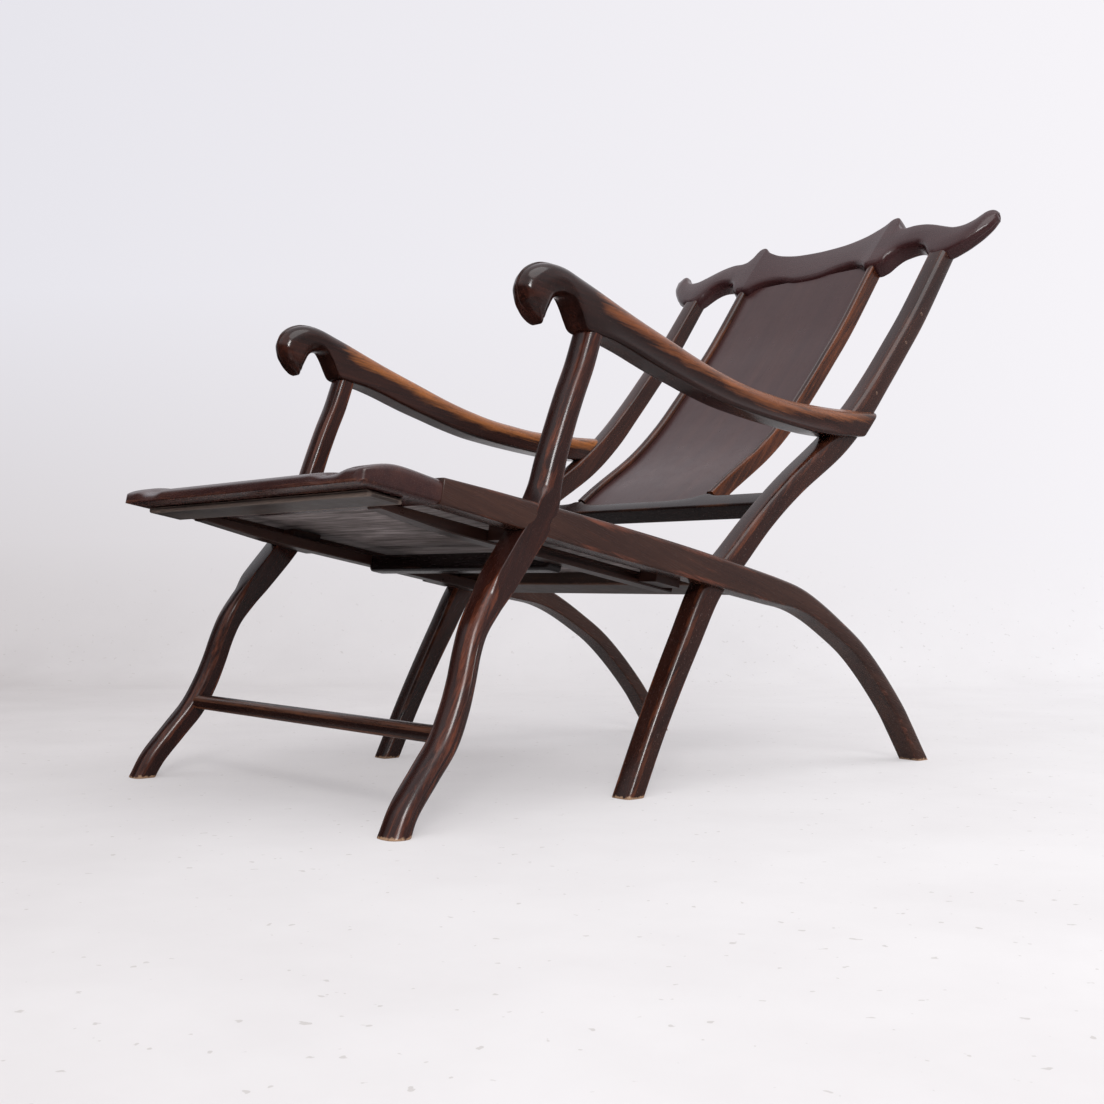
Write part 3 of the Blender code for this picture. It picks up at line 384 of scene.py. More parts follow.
def lacquered(name, turn, shift, bump=0.06, edge_wear=0.3, foot=False, **values):
    """Material of one board: the grain's coordinates are turned to lie along the board, and shifted so that
    boards differ. The mesh gives where edges and rubbed places are, and the lowest 5 mm of a foot are scuffed
    to bare wood."""
    material, tree, shader, place = new_material(name)
    grain = node(tree, "ShaderNodeMapping", {"Vector": place, "Rotation": turn, "Location": shift}).outputs["Vector"]
    edge, rub = mesh_mask(tree, "edge"), mesh_mask(tree, "rub")
    wood = node(tree, "ShaderNodeGroup", node_tree=rosewood)
    tree.links.new(grain, wood.inputs["Grain"])
    tree.links.new(plus(tree, times(tree, edge, edge_wear), rub), wood.inputs["Rub Mask"])
    for key, value in values.items():
        wood.inputs[key].default_value = (*value, 1) if isinstance(value, tuple) else value
    colour = wood.outputs["Color"]
    if foot:
        height = node(tree, "ShaderNodeSeparateXYZ", {"Vector": place}).outputs["Z"]
        scuffed = plus(tree, times(tree, height, -260), times(tree, clouds(tree, place, 160, 3), 2.6))
        scuffed = times(tree, maths(tree, "SUBTRACT", scuffed, 0.35), 2.0, True)
        colour = mix(tree, scuffed, colour, BARE_WOOD)
    tree.links.new(colour, shader.inputs["Base Color"])
    tree.links.new(wood.outputs["Roughness"], shader.inputs["Roughness"])
    roughen(tree, shader, wood.outputs["Height"], bump, 0.0002)
    shader.inputs["IOR"].default_value = LACQUER_IOR
    return material


def show(piece, material, slot, *nodes, body="chair_frame"):
    """Gives a finished piece its material, its body and the CAD nodes it stands for."""
    piece.data.materials.append(material)
    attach(piece, body)
    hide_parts(*nodes)


rosewood = rosewood_group()
rail_under, rail_top = bar_edges(RAIL_CURVE)
rail_back = (rail_top[:, 0] + rail_under[:, 0]) / 2 + MIDDLE
rail_top_round = 0.0055 - 0.0025 * between(rail_back, 0, 0.16, 0.05)
rail_radii = columns(rail_back, rail_top_round, 0.004, 0.003, 0.004)


def rail_rub(points, ring):
    """Red worn marks on the outer side behind the front leg and before the stile. A row of RAIL_WORN says how
    strong a mark is, from where to where it runs, and how softly it ends."""
    back, out = points[:, :, 1] + MIDDLE, ring[:, :, 1] > RAIL_HALF - 0.004
    return out * sum(depth * between(back, *reach) for depth, *reach in RAIL_WORN)


for name, side in SIDES.items():
    wood = lacquered("rail_lacquer_" + name, RAIL_GRAIN, (0.4 * side, 0.3, 0.1), Rubbed=0.08, foot=True,
                     Streaks=0.6, Dark=(0.028, 0.011, 0.008), Light=(0.085, 0.036, 0.023), Worn=(0.26, 0.06, 0.026),
                     Gloss=0.24)
    piece = carved_bar("seat_rail_bar_" + name, side_plane(side), rail_top, rail_under, RAIL_MIDDLE_X, RAIL_HALF,
                       rail_radii, crowns=(0.0006, 0.0003, 0.0003, 0.0004), ends=(0, 0.0015), rub=rail_rub)
    show(piece, wood, "worn_lacquer", "seat_rail_" + name)

# Front legs: each is sawn to a double curve from foot to arm, and leans outwards below the rail.
# Its outer front corner is rounded broadly; at the half lap with the rail the faces lie flush and square.
LEG_CURVE = (
    (18, 0, 26.5), (34.5, 29.8, 26.5), (64.4, 65.7, 27.2), (91.8, 98.5, 27.9), (110.2, 133.1, 26.9),
    (122.9, 165.4, 25.5), (134.1, 200, 25.2), (146.2, 228.1, 26.5), (165.2, 255.5, 29.6), (189.4, 286, 32.6),
    (217.7, 320, 34), (242.5, 351, 33.7), (256.5, 376.1, 32.3), (265.4, 404.2, 29.9), (274, 435.2, 27.2),
    (289.9, 480, 25.5), (305.8, 520, 25.2), (321.4, 555.8, 24.8), (336, 597, 24.1),
)
LEG_MIDDLE_X = 0.2884
LEG_HALF = 0.0189
LEG_SPLAY = 0.033
LEG_SPLAY_TOP = 0.325
LEG_LAP = (0.285, 0.375)
LEG_LAP_SOFT = 0.03
LEG_LAP_ROUND = 0.0012
LEG_GRAIN = (math.radians(-62), 0, 0)
leg_front, leg_rear = bar_edges(LEG_CURVE)
leg_z = (leg_front[:, 1] + leg_rear[:, 1]) / 2
leg_lapped = between(leg_z, *LEG_LAP, LEG_LAP_SOFT)
leg_x = LEG_MIDDLE_X + LEG_SPLAY * np.clip(1 - leg_z / LEG_SPLAY_TOP, 0, 1)
leg_low = between(leg_z, 0, 0.2, 0.08)
leg_wide = columns(leg_z, 0.0172, 0.005 + 0.006 * leg_low, 0.004, 0.007 + 0.003 * leg_low)
leg_radii = leg_wide + (LEG_LAP_ROUND - leg_wide) * leg_lapped[:, None]
for name, side in SIDES.items():
    piece = carved_bar("front_leg_bar_" + name, side_plane(side), leg_front, leg_rear, leg_x, LEG_HALF,
                       leg_radii, crowns=(0.0006, 0.0004, 0, 0.0006), ends=(0.0012, 0))
    wood = lacquered("leg_lacquer_" + name, LEG_GRAIN, (0.2 * side, 0.7, 0.4), Rubbed=0.13, foot=True,
                     Streaks=0.55, Dark=(0.016, 0.0045, 0.0035), Light=(0.065, 0.016, 0.009),
                     Worn=(0.26, 0.066, 0.024), Gloss=0.21)
    show(piece, wood, "worn_lacquer", "front_leg_" + name)

# Front stretcher: a slim bar tenoned into both front legs, its top rounded by feet.
# It is turned crosswise, so its grain runs from leg to leg.
CROSSWISE = (0, 0, math.pi / 2)
STRAIGHT_ROWS = 25
FLAT_SIDES = (0, 0, 0, 0)
SQUARE_ENDS = (0, 0)


def cross_plane(back, height, slope):
    """Board that runs across the chair: flat points are (sideways, up), and out is towards the front. The
    board is tipped by a slope that lowers its back."""
    up = np.array((0, math.sin(slope), math.cos(slope)))
    front = np.array((0, -math.cos(slope), math.sin(slope)))
    start = np.array((0, back - MIDDLE, height))
    return lambda flat, out: (start + flat[:, :, :1] * np.array((1, 0, 0)) + flat[:, :, 1:] * up
                              + out[:, :, None] * front)


def cross_bar(name, place, half_width, top, under, half_deep, radii, crowns=FLAT_SIDES, ends=SQUARE_ENDS):
    """Straight bar from the chair's right to its left, between a level top and a level underside."""
    x = np.linspace(-half_width, half_width, STRAIGHT_ROWS)
    return carved_bar(name, place, columns(x, x, top), columns(x, x, under), 0, half_deep, radii, crowns, ends)


stretcher = cross_bar("front_stretcher_bar", cross_plane(back=0.0985, height=0.106, slope=0), half_width=0.3035,
                      top=0.009, under=-0.009, half_deep=0.012, radii=(0.006, 0.003, 0.003, 0.005),
                      crowns=(0.0004, 0, 0, 0.0015))
stretcher_wood = lacquered("stretcher_lacquer", CROSSWISE, (0.1, 0.8, 0.3), Rubbed=0.14, edge_wear=0.45,
                           Dark=(0.014, 0.005, 0.004), Light=(0.06, 0.022, 0.014), Gloss=0.24)
show(stretcher, stretcher_wood, "dark_lacquer", "front_stretcher")

# Seat front board: a thick board across the front, its top rolled over the edge for the sitter's knees.
# Near each end the roll rises to a small ear with a scooped hollow just inside it, and the ends are rounded.
SEAT_SLOPE = math.radians(11)
BOARD_HALF_WIDTH = 0.306
BOARD_FRONT = -0.019
BOARD_BASE = 0.385 + 0.044 * math.tan(SEAT_SLOPE)
BOARD_END_ROUND = 0.014
BOARD_END_STEPS = 9
BOARD_STEPS = 90
ROLL_START, ROLL_HEIGHT = 0.008, 0.022
EAR_LIFT, EAR_AWAY, EAR_BACK = 0.0055, (0.268, 0.31, 0.05), (0.0, 0.03, 0.08)
SCOOP_DROP, SCOOP_AWAY, SCOOP_BACK = 0.007, (0.224, 0.238, 0.036), (0.0, 0.02, 0.05)
SCOOP_INSET, INSET_HEIGHT, INSET_BACK = 0.006, 0.02, (0, 0.012, 0.02)
END_DRAW, END_LIFT = 0.8, 0.45
SECTION_STEPS = 5
BOARD_SECTION = (
    (113.2, 0), (60, 0), (12, 0), (3, 0), (0.9, 0.7), (0.2, 2.4), (0, 8), (2.3, 13.3), (9.2, 17.4), (23, 22),
    (41.5, 26.4), (60, 28.8), (86.4, 30.1), (113.2, 30.1),
)


def front_board_rings():
    """Section carried sideways: the roll's front is lifted by an ear near each end and lowered by a scoop just
    inside it, each a smooth hump; each end is drawn in along a quarter circle. The rows of three say from
    where to where a hump runs, and how softly it ends."""
    rolled = curve_through(BOARD_SECTION[2:], SECTION_STEPS)
    section = np.vstack((rolled, BOARD_SECTION[:1], BOARD_SECTION[1:2]))[::-1] / 1000
    turn = np.linspace(0, math.pi / 2, BOARD_END_STEPS)
    inset = BOARD_END_ROUND * (1 - np.cos(turn))
    reach = BOARD_HALF_WIDTH - BOARD_END_ROUND + BOARD_END_ROUND * np.sin(turn)
    inner = np.linspace(-reach[0], reach[0], BOARD_STEPS)
    x = np.concatenate((-reach[:0:-1], inner, reach[1:]))
    drawn = np.concatenate((inset[:0:-1], 0 * inner, inset[1:]))
    away = np.abs(x)[:, None]
    y, h = section[None, :, 0], section[None, :, 1]
    top = np.clip((h - ROLL_START) / ROLL_HEIGHT, 0, 1)
    ear = between(away, *EAR_AWAY) * between(y, *EAR_BACK)
    scoop = between(away, *SCOOP_AWAY) * between(y, *SCOOP_BACK)
    lift = top * (EAR_LIFT * ear - SCOOP_DROP * scoop)
    back = y + SCOOP_INSET * scoop * np.clip(h / INSET_HEIGHT, 0, 1) * between(y, *INSET_BACK)
    shrink = drawn[:, None]
    back = np.clip(back, shrink * END_DRAW, None)
    up = np.clip(h + lift, shrink * END_LIFT, None) - shrink * END_DRAW * top
    return x, back + 0 * up, up


def seat_slope(x, back, up):
    """Points of a section in the seat's slope: back along the slope and up square to it."""
    y = BOARD_FRONT - MIDDLE + back * math.cos(SEAT_SLOPE) + up * math.sin(SEAT_SLOPE)
    z = BOARD_BASE - back * math.sin(SEAT_SLOPE) + up * math.cos(SEAT_SLOPE)
    return np.stack((np.broadcast_to(x[:, None], y.shape), y, z), axis=2)


board_x, board_back, board_up = front_board_rings()
board_edge = between(board_up, -0.001, 0.004, 0.002) * between(board_back, 0, 0.012, 0.01)
front_board = skin("seat_front_board_roll", seat_slope(board_x, board_back, board_up), board_edge)
board_wood = lacquered("seat_board_lacquer", CROSSWISE, (0.5, 0.1, 0.2), Rubbed=0.15,
                       Dark=(0.03, 0.011, 0.0105), Light=(0.075, 0.028, 0.021), Worn=(0.18, 0.065, 0.032), Gloss=0.24)
show(front_board, board_wood, "dark_lacquer", "seat_front_board")

# Seat rear board: the board behind the seat panel, tenoned into the back stiles.
# Its underside was never finished, and has gone pale and dusty.
rear_board = cross_bar("seat_rear_board_plank", cross_plane(back=0.5905, height=0.2777, slope=SEAT_SLOPE),
                       half_width=0.2675, top=0.0226, under=-0.0074, half_deep=0.0382,
                       radii=(0.004, 0.002, 0.002, 0.004), crowns=(0, 0, 0, 0.0004))
rear_board_wood = lacquered("rear_board_lacquer", CROSSWISE, (0.9, 0.4, 0.6), Rubbed=0.2, edge_wear=0.4, Dust=0.25,
                            Dark=(0.03, 0.017, 0.013), Light=(0.09, 0.055, 0.042), Gloss=0.42)
show(rear_board, rear_board_wood, "dark_lacquer", "seat_rear_board")

# Seat panel: wide thin boards let into the frame's grooves, sawn across with a rough underside that was
# never lacquered. The sitter's side is smooth and dark.
# The sawn colours, the pale one most, are raw grey-brown wood lifted paler as painted light for the floor's bounce
# under the seat.
SAWN_DARK, SAWN_PALE_AND_BOUNCE_LIGHT = (0.07, 0.055, 0.05), (0.42, 0.36, 0.35)
SAWN_BROWN, SAWN_STAIN = (0.075, 0.052, 0.045), (0.03, 0.02, 0.018)


def raw_board():
    """Bare sawn underside: grey-brown streaks across the seat, dark stains, open pores and saw marks. The sawn
    colours are lifted paler than the raw wood as painted light for the floor's bounce under the seat. Faces that look
    up get the frame's dark lacquer, told apart by the surface's own direction."""
    material, tree, shader, place = new_material("seat_panel_wood")

    def noise(stretch, scale, detail, rough=0.6, moved=(0, 0, 0)):
        """Noise drawn out sideways to one over the first number of the stretch."""
        turned = node(tree, "ShaderNodeMapping", {"Vector": place, "Scale": stretch, "Location": moved})
        return clouds(tree, turned.outputs["Vector"], scale, detail, rough)

    streak = ramp(tree, noise((0.045, 1, 1), 190, 5, 0.65), ((0.35, 0.0), (0.62, 1.0)))
    broad = ramp(tree, noise((0.16, 1, 1), 22, 3, 0.6, (3, 1, 4)), ((0.35, 0.0), (0.7, 1.0)))
    stain = ramp(tree, noise((0.5, 1, 1), 9, 4, 0.6, (1, 7, 2)), ((0.42, 0.0), (0.64, 1.0)))
    saw = noise((0.08, 1, 1), 420, 3, 0.6, (6, 2, 8))
    colour = mix(tree, streak, SAWN_DARK, SAWN_PALE_AND_BOUNCE_LIGHT)
    colour = mix(tree, times(tree, broad, 0.55), colour, SAWN_BROWN)
    colour = mix(tree, times(tree, stain, 0.6), colour, SAWN_STAIN)
    facing = node(tree, "ShaderNodeNewGeometry").outputs["Normal"]
    upward = node(tree, "ShaderNodeSeparateXYZ", {"Vector": facing}).outputs["Z"]
    upward = ramp(tree, upward, ((0.3, 0.0), (0.5, 1.0)))
    wood = node(tree, "ShaderNodeGroup", node_tree=rosewood)
    turned = node(tree, "ShaderNodeMapping", {"Vector": place, "Rotation": CROSSWISE})
    tree.links.new(turned.outputs["Vector"], wood.inputs["Grain"])
    tree.links.new(mix(tree, upward, colour, wood.outputs["Color"]), shader.inputs["Base Color"])
    rough = plus(tree, times(tree, saw, 0.2), 0.55)
    tree.links.new(mix(tree, upward, rough, wood.outputs["Roughness"]), shader.inputs["Roughness"])
    roughen(tree, shader, saw, 0.35, 0.0008)
    return material


def redress(cad_node, material):
    """Gives a CAD node's own mesh one new material."""
    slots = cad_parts[cad_node].data.materials
    slots.clear()
    slots.append(material)


redress("seat_panel", raw_board())

# Back stiles: each is bent or sawn in one piece with the middle leg, from foot to crest rail.
# The outer front corner is rounded more broadly above the seat, where hands and backs have rubbed it.
STILE_CURVE = (
    (415, 0, 26.6), (452.8, 77.2, 27.4), (485, 137.4, 29.2), (522.8, 203.3, 32.2), (564.9, 272.4, 35.2),
    (610.6, 311.4, 34.4), (676.3, 371.5, 31.5), (745.6, 425.2, 32.6), (839.1, 487, 37), (901.9, 540.6, 35.9),
    (952.6, 594.3, 32.2), (1000.5, 648.8, 31.1), (1054, 712.2, 30.3), (1129, 813, 27.4), (1137.5, 823.5, 27.4),
)
STILE_MIDDLE_X = 0.279
STILE_HALF = 0.017
BACK_GRAIN = (math.radians(-48.7), 0, 0)
stile_front, stile_rear = bar_edges(STILE_CURVE)
stile_z = (stile_front[:, 1] + stile_rear[:, 1]) / 2
stile_corner = 0.0085 + 0.0015 * between(stile_z, 0.42, 0.9, 0.1)
stile_radii = columns(stile_z, stile_corner, 0.003, 0.003, 0.0045)
for name, side in SIDES.items():
    piece = carved_bar("back_stile_bar_" + name, side_plane(side), stile_front, stile_rear, STILE_MIDDLE_X,
                       STILE_HALF, stile_radii, crowns=(0.0005, 0.0003, 0.0003, 0.0005), ends=(0.0012, 0))
    wood = lacquered("stile_lacquer_" + name, BACK_GRAIN, (0.6 * side, 0.2, 0.9), Rubbed=0.13, foot=True,
                     Dark=(0.018, 0.0055, 0.004), Light=(0.068, 0.02, 0.011), Worn=(0.22, 0.06, 0.022), Gloss=0.2,
                     Dust=0.2)
    show(piece, wood, "worn_lacquer", "back_stile_" + name)

# Lower back rail: runs between the back stiles just above the seat, its front top edge rounded off.
# Its top is hollowed between the slim stiles and rises in a small cove where each of them stands on it.
LOWER_RAIL_HEIGHT = 0.394
LOWER_RAIL_UNDER = -0.015
LOWER_RAIL_STEPS = 8
LEAN_STEP = 0.01
LOWER_RAIL_TOP = (
    (0, 8.4), (55.2, 8.7), (99.4, 10.2), (121.4, 13.2), (133.9, 18), (139.1, 20.7), (146.3, 21), (153.5, 20.7),
    (158.7, 18), (168.4, 15.6), (187.7, 15), (231.8, 15), (267.5, 15),
)


def stile_line(height):
    """Place and lean of the back stiles' middle line at a height, in radians from level."""
    line = (stile_front + stile_rear) / 2
    back = np.interp(height, line[:, 1], line[:, 0]) + MIDDLE
    ahead = np.interp(height + LEAN_STEP, line[:, 1], line[:, 0]) + MIDDLE
    return back, math.atan2(LEAN_STEP, ahead - back)


lower_back, lower_lean = stile_line(LOWER_RAIL_HEIGHT)
lower_half = curve_through(LOWER_RAIL_TOP, LOWER_RAIL_STEPS) / 1000
lower_top = np.vstack((lower_half[:0:-1] * np.array((-1, 1)), lower_half))
lower_under = columns(lower_top, lower_top[:, 0], LOWER_RAIL_UNDER)
lower_place = cross_plane(lower_back, LOWER_RAIL_HEIGHT, math.pi / 2 - lower_lean)
lower_rail = carved_bar("lower_back_rail_bar", lower_place, lower_top, lower_under, middle=0, half_deep=0.014,
                        radii=(0.006, 0.003, 0.003, 0.004), crowns=(0.0005, 0, 0, 0), ends=SQUARE_ENDS)
# The lower rail's colour is near black, darker than the stiles': dark lacquer plus painted shade, so that its under
# face, turned down into shade, renders black.
lower_wood_and_shade = lacquered("lower_rail_lacquer", CROSSWISE, (0.3, 0.6, 0.8), Rubbed=0.1,
                       Dark=(0.009, 0.0035, 0.003), Light=(0.03, 0.011, 0.008), Gloss=0.22)
show(lower_rail, lower_wood_and_shade, "dark_lacquer", "lower_back_rail")

# Back panel and its two slim stiles: one thin wide board, bent to the sitter's back and let into grooves.
# The panel is planed smooth and waxed; its faint grain runs up the back.
SLIM_MIDDLE_X = 0.14625
SLIM_HALF = 0.00725
back_curve = curve_through(STILE_CURVE, CURVE_STEPS)


def back_part(width, low, high):
    """Edges of a bar that follows the back stiles' middle line between two heights, one width all along. All
    three are millimetres."""
    rows = back_curve[(back_curve[:, 1] > low) & (back_curve[:, 1] < high)]
    middle = to_scene(rows[:, :2])
    square = square_to(middle) * width / 2000
    return middle + square, middle - square


def slim_rub(points, ring):
    """The outer side of each slim stile is worn to orange-brown wood, less so towards the top."""
    return (0.16 + 0.2 * between(points[:, :, 2], 0.3, 0.7, 0.12)) * (ring[:, :, 1] > SLIM_HALF - 0.0015)


slim_front, slim_rear = back_part(width=26.6, low=408, high=818)
for name, side in SIDES.items():
    piece = carved_bar("splat_stile_bar_" + name, side_plane(side), slim_front, slim_rear, SLIM_MIDDLE_X, SLIM_HALF,
                       radii=(0.004, 0.0018, 0.0018, 0.006), crowns=(0.0002, 0, 0, 0.0004), ends=SQUARE_ENDS,
                       rub=slim_rub)
    wood = lacquered("slim_stile_lacquer_" + name, BACK_GRAIN, (0.7 * side, 0.9, 0.2), Rubbed=0.14,
                     Dark=(0.018, 0.005, 0.0035), Light=(0.08, 0.022, 0.01), Worn=(0.2, 0.055, 0.015), Gloss=0.16)
    show(piece, wood, "dark_lacquer", "splat_stile_" + name)

panel_front, panel_rear = back_part(width=8, low=388, high=834)
panel = carved_bar("splat_panel_board", side_plane(1), panel_front, panel_rear, middle=0, half_deep=0.1448,
                   radii=0.0003, crowns=FLAT_SIDES, ends=SQUARE_ENDS)
panel_wood = lacquered("panel_lacquer", BACK_GRAIN, (0.2, 0.5, 0.5), bump=0.02, Rubbed=0.12,
                       edge_wear=0, Streaks=0.6, Dark=(0.038, 0.0135, 0.0135), Light=(0.072, 0.028, 0.023),
                       Worn=(0.085, 0.04, 0.026), Gloss=0.3, Dust=0.02)
show(panel, panel_wood, "panel_lacquer", "splat_panel")

# Crest rail: sawn from one thick plank, with two ears, a hollow for the head between them, and ends that
# turn up into round horns. Its under edge is rounded deeply where it arches over the back.
CREST_LEAN = math.radians(40)
CREST_BACK, CREST_HEIGHT = 1.129, 0.813
CREST_STEPS = 5
CREST_THICK = 0.034
HOLLOW_DEPTH, HOLLOW_REACH, HOLLOW_POWER = 0.0085, 0.142, 2.2
HORN_START, HORN_RUN = 0.2, 0.15
TIP_START, TIP_RUN = 0.335, 0.024
HORN_SLIMMING, TIP_SLIMMING = 0.0042, 0.006
CREST_PAIRS = (
    (0, 81.6, 0, 6), (29, 82.5, 29, 8), (56, 84, 57, 15.5), (80, 87.5, 85, 19), (101, 92.4, 106, 16.5),
    (118, 99.5, 122, 9), (132, 107, 132, 1.5), (139, 113.5, 138, 0), (144.5, 119, 146, 0), (151, 121, 152, 0),
    (157.5, 118.5, 158, 0), (161.5, 110.5, 163, 2.5), (164, 101, 167, 5), (168, 94, 171, 9), (173, 88, 176, 18),
    (180, 85.5, 182, 26), (188, 84.6, 190, 33), (204, 86.4, 203, 37), (218, 86, 217, 38), (231, 84, 229, 35.5),
    (246, 79.5, 240, 28.5), (260, 74, 249, 18), (274, 68.5, 255, 9), (287, 64, 262, 2), (298, 63.5, 272, -2.3),
    (309, 65.4, 285, 0), (319, 70.5, 298, 3.5), (327, 77, 310, 10), (333, 84.5, 321, 17.5), (338, 91, 331, 27),
    (342, 94.5, 339, 35), (347, 96, 347, 45), (352, 94, 354, 55), (356, 90, 358, 66), (357.5, 84, 359, 76),
)


def crest_plane(flat, out):
    """Points of the leaning crest: sideways, up along its lean, and out square to its front."""
    up, ahead = flat[:, :, 1], out
    y = CREST_BACK - MIDDLE + up * math.sin(CREST_LEAN) - ahead * math.cos(CREST_LEAN)
    z = CREST_HEIGHT + up * math.cos(CREST_LEAN) + ahead * math.sin(CREST_LEAN)
    return np.stack((flat[:, :, 0], y, z), axis=2)


crest_rows = curve_through(CREST_PAIRS, CREST_STEPS) / 1000
crest_left = crest_rows[:0:-1] * np.array((-1, 1, -1, 1))
crest_rows = np.vstack((crest_left, crest_rows))
crest_away = np.abs(crest_rows[:, 0] + crest_rows[:, 2]) / 2
hollow = HOLLOW_DEPTH * np.clip(1 - (crest_away / HOLLOW_REACH) ** HOLLOW_POWER, 0, 1)
horn = np.clip((crest_away - HORN_START) / HORN_RUN, 0, 1)
tip = np.clip((crest_away - TIP_START) / TIP_RUN, 0, 1)
crest_half_deep = (CREST_THICK - hollow) / 2 - HORN_SLIMMING * horn - TIP_SLIMMING * tip * tip
crest_middle = 0.002 - hollow / 2
horn_round = 0.009 * horn
crest_radii = columns(horn, 0.003 + horn_round, 0.012 + 0.1 * horn_round, 0.004 + horn_round, 0.003 + horn_round)
crest_crowns = columns(horn, 0.0008 + 0.001 * horn, 0.001, 0.001 * horn, 0.001)
crest = carved_bar("crest_rail_board", crest_plane, crest_rows[:, :2], crest_rows[:, 2:], crest_middle,
                   crest_half_deep, crest_radii, crest_crowns, ends=(0.003, 0.003))
crest_wood = lacquered("crest_lacquer", CROSSWISE, (0.8, 0.3, 0.4), bump=0.01, Rubbed=0.08, edge_wear=0.15,
                       Streaks=0.5, Dark=(0.034, 0.011, 0.012), Light=(0.074, 0.025, 0.023),
                       Worn=(0.14, 0.05, 0.025), Gloss=0.26, Dust=0.02)
show(crest, crest_wood, "dark_lacquer", "crest_rail")

# Scroll arms: each is carved from a deep board, its top rubbed bare by hands, its front end curled
# over to a rounded head. A hollow runs along the lower half of the outer side behind the leg, and the head
# narrows from BEAK_START of the arm's run to the tip of the curl.
ARM_PAIRS = (
    (925, 543, 887, 502), (880, 541.5, 850, 500.5), (837, 540.5, 819, 500), (784, 541.5, 772, 502),
    (730, 544, 722, 507), (684, 550, 676, 512.5), (639, 557, 630, 519), (594, 567.5, 583, 527),
    (550, 580, 535, 539), (514, 592, 498, 550), (478, 605, 461, 561), (448, 615.5, 431, 571),
    (419, 626, 402, 581), (390, 637, 373, 589.5), (361, 648.5, 350, 594), (338, 658, 332, 597),
    (320, 665, 320, 601), (307, 670, 314, 611), (294, 674.5, 309, 622), (282, 677, 303, 632),
    (270, 678, 297, 637), (259, 677.5, 290, 639), (249, 675, 283, 638.5), (240, 671, 277, 637),
    (232, 665.5, 272, 634), (226, 659, 268, 629), (222.5, 652, 265, 623), (220.5, 645, 262, 617),
    (221.5, 636, 260, 612), (223.5, 628, 259, 608), (228, 620.5, 257, 605), (233.5, 614, 255.5, 602.5),
    (239, 609, 254, 601), (244, 605, 252.5, 600.2), (247.5, 602, 251, 599.8),
)
ARM_HALF = 0.021
ARM_STEPS = 6
ARM_GRAIN = (math.radians(9.6), 0, 0)
ARM_WORN = {"left": (0.36, 0.12, 0.034), "right": (0.5, 0.17, 0.035)}
BEAK_START, BEAK_SLIMMING, BEAK_POWER = 0.62, 0.9, 2.6
arm_rows = curve_through(ARM_PAIRS, ARM_STEPS)
arm_upper, arm_lower = to_scene(arm_rows[:, :2]), to_scene(arm_rows[:, 2:])
arm_back = arm_rows[:, 0]
arm_head = between(arm_back, 0, 300, 70)
arm_cove = between(arm_back, 400, 800, 60)
arm_top_round = 0.017 + 0.0025 * arm_head
arm_under_round = 0.0045 + 0.0125 * between(arm_back, 0, 262, 40)
arm_radii = columns(arm_head, arm_top_round, arm_under_round, arm_under_round, arm_top_round)
arm_run = np.arange(len(arm_rows)) / (len(arm_rows) - 1)
arm_beak = np.clip((arm_run - BEAK_START) / (1 - BEAK_START), 0, 1)
arm_half = ARM_HALF * np.sqrt(1 - BEAK_SLIMMING * arm_beak ** BEAK_POWER)
arm_crowns = columns(arm_head, 0.001 * arm_head - 0.0018 * arm_cove, 0, 0, 0.0022)


def arm_rub(points, ring):
    """Tops worn by hands: strongest along the middle of the arm, fading towards the head and the sides."""
    top = np.clip((ring[:, :, 0] + 0.008) / 0.016, 0, 1)
    back = points[:, :, 1] + MIDDLE
    return top * (0.62 * between(back, 0.37, 0.85, 0.12)) + 0.1 - 0.4 * between(back, 0, 0.3, 0.06)


for name, side in SIDES.items():
    piece = carved_bar("scroll_arm_" + name, side_plane(side), arm_upper, arm_lower, RAIL_MIDDLE_X, arm_half,
                       arm_radii, arm_crowns, ends=(0.0015, 0.002), rub=arm_rub)
    wood = lacquered("arm_lacquer_" + name, ARM_GRAIN, (0.3 * side, 0.5, 0.7), Rubbed=0.07, edge_wear=0.0,
                     Streaks=0.6, Dark=(0.013, 0.0045, 0.0035), Light=(0.09, 0.026, 0.016), Worn=ARM_WORN[name],
                     Gloss=0.17)
    show(piece, wood, "dark_lacquer", "arm_" + name)

# Pegs and pins: round pegs of paler wood driven through the joints and cut flush. Their end grain
# stands a hair proud now, with a pale ring where the lacquer has cracked round it.
PIN_SIZES = (0.0035, 0.028, 0.3078)
PEG_SIZES = (0.0032, 0.009, 0.2966)
PEG_HEIGHTS = {"stile_peg_upper_": 0.7106, "stile_peg_middle_": 0.6602, "stile_peg_lower_": 0.5732}
PEG_SIDES = 20
PEG_PROFILE = np.array(((0.05, 0.0), (0.5, 0.0), (0.8, 0.04), (0.93, 0.12), (1.0, 0.3), (1.0, 1.0), (1.0, 3.0)))
PEG_RIM = np.array((0, 0, 0.3, 1, 1, 1, 1))[:, None]


def turned_peg(name, side, back, height, sizes):
    """Peg as a profile turned about a sideways axis: a rounded end, then a straight side into the wood. The
    profile is in shares of the radius; sizes are the radius, the length and how far out the end lies."""
    radius, length, outer = sizes
    depth = np.minimum(PEG_PROFILE[:, 1] * radius, length)
    angle = np.linspace(0, 2 * math.pi, PEG_SIDES, endpoint=False)
    x = side * (outer - depth)[:, None] + 0 * angle[None]
    y = back - MIDDLE + radius * PEG_PROFILE[:, :1] * np.cos(angle)[None]
    z = height + radius * PEG_PROFILE[:, :1] * np.sin(angle)[None]
    return skin(name, np.stack((x, y, z), axis=2), PEG_RIM)


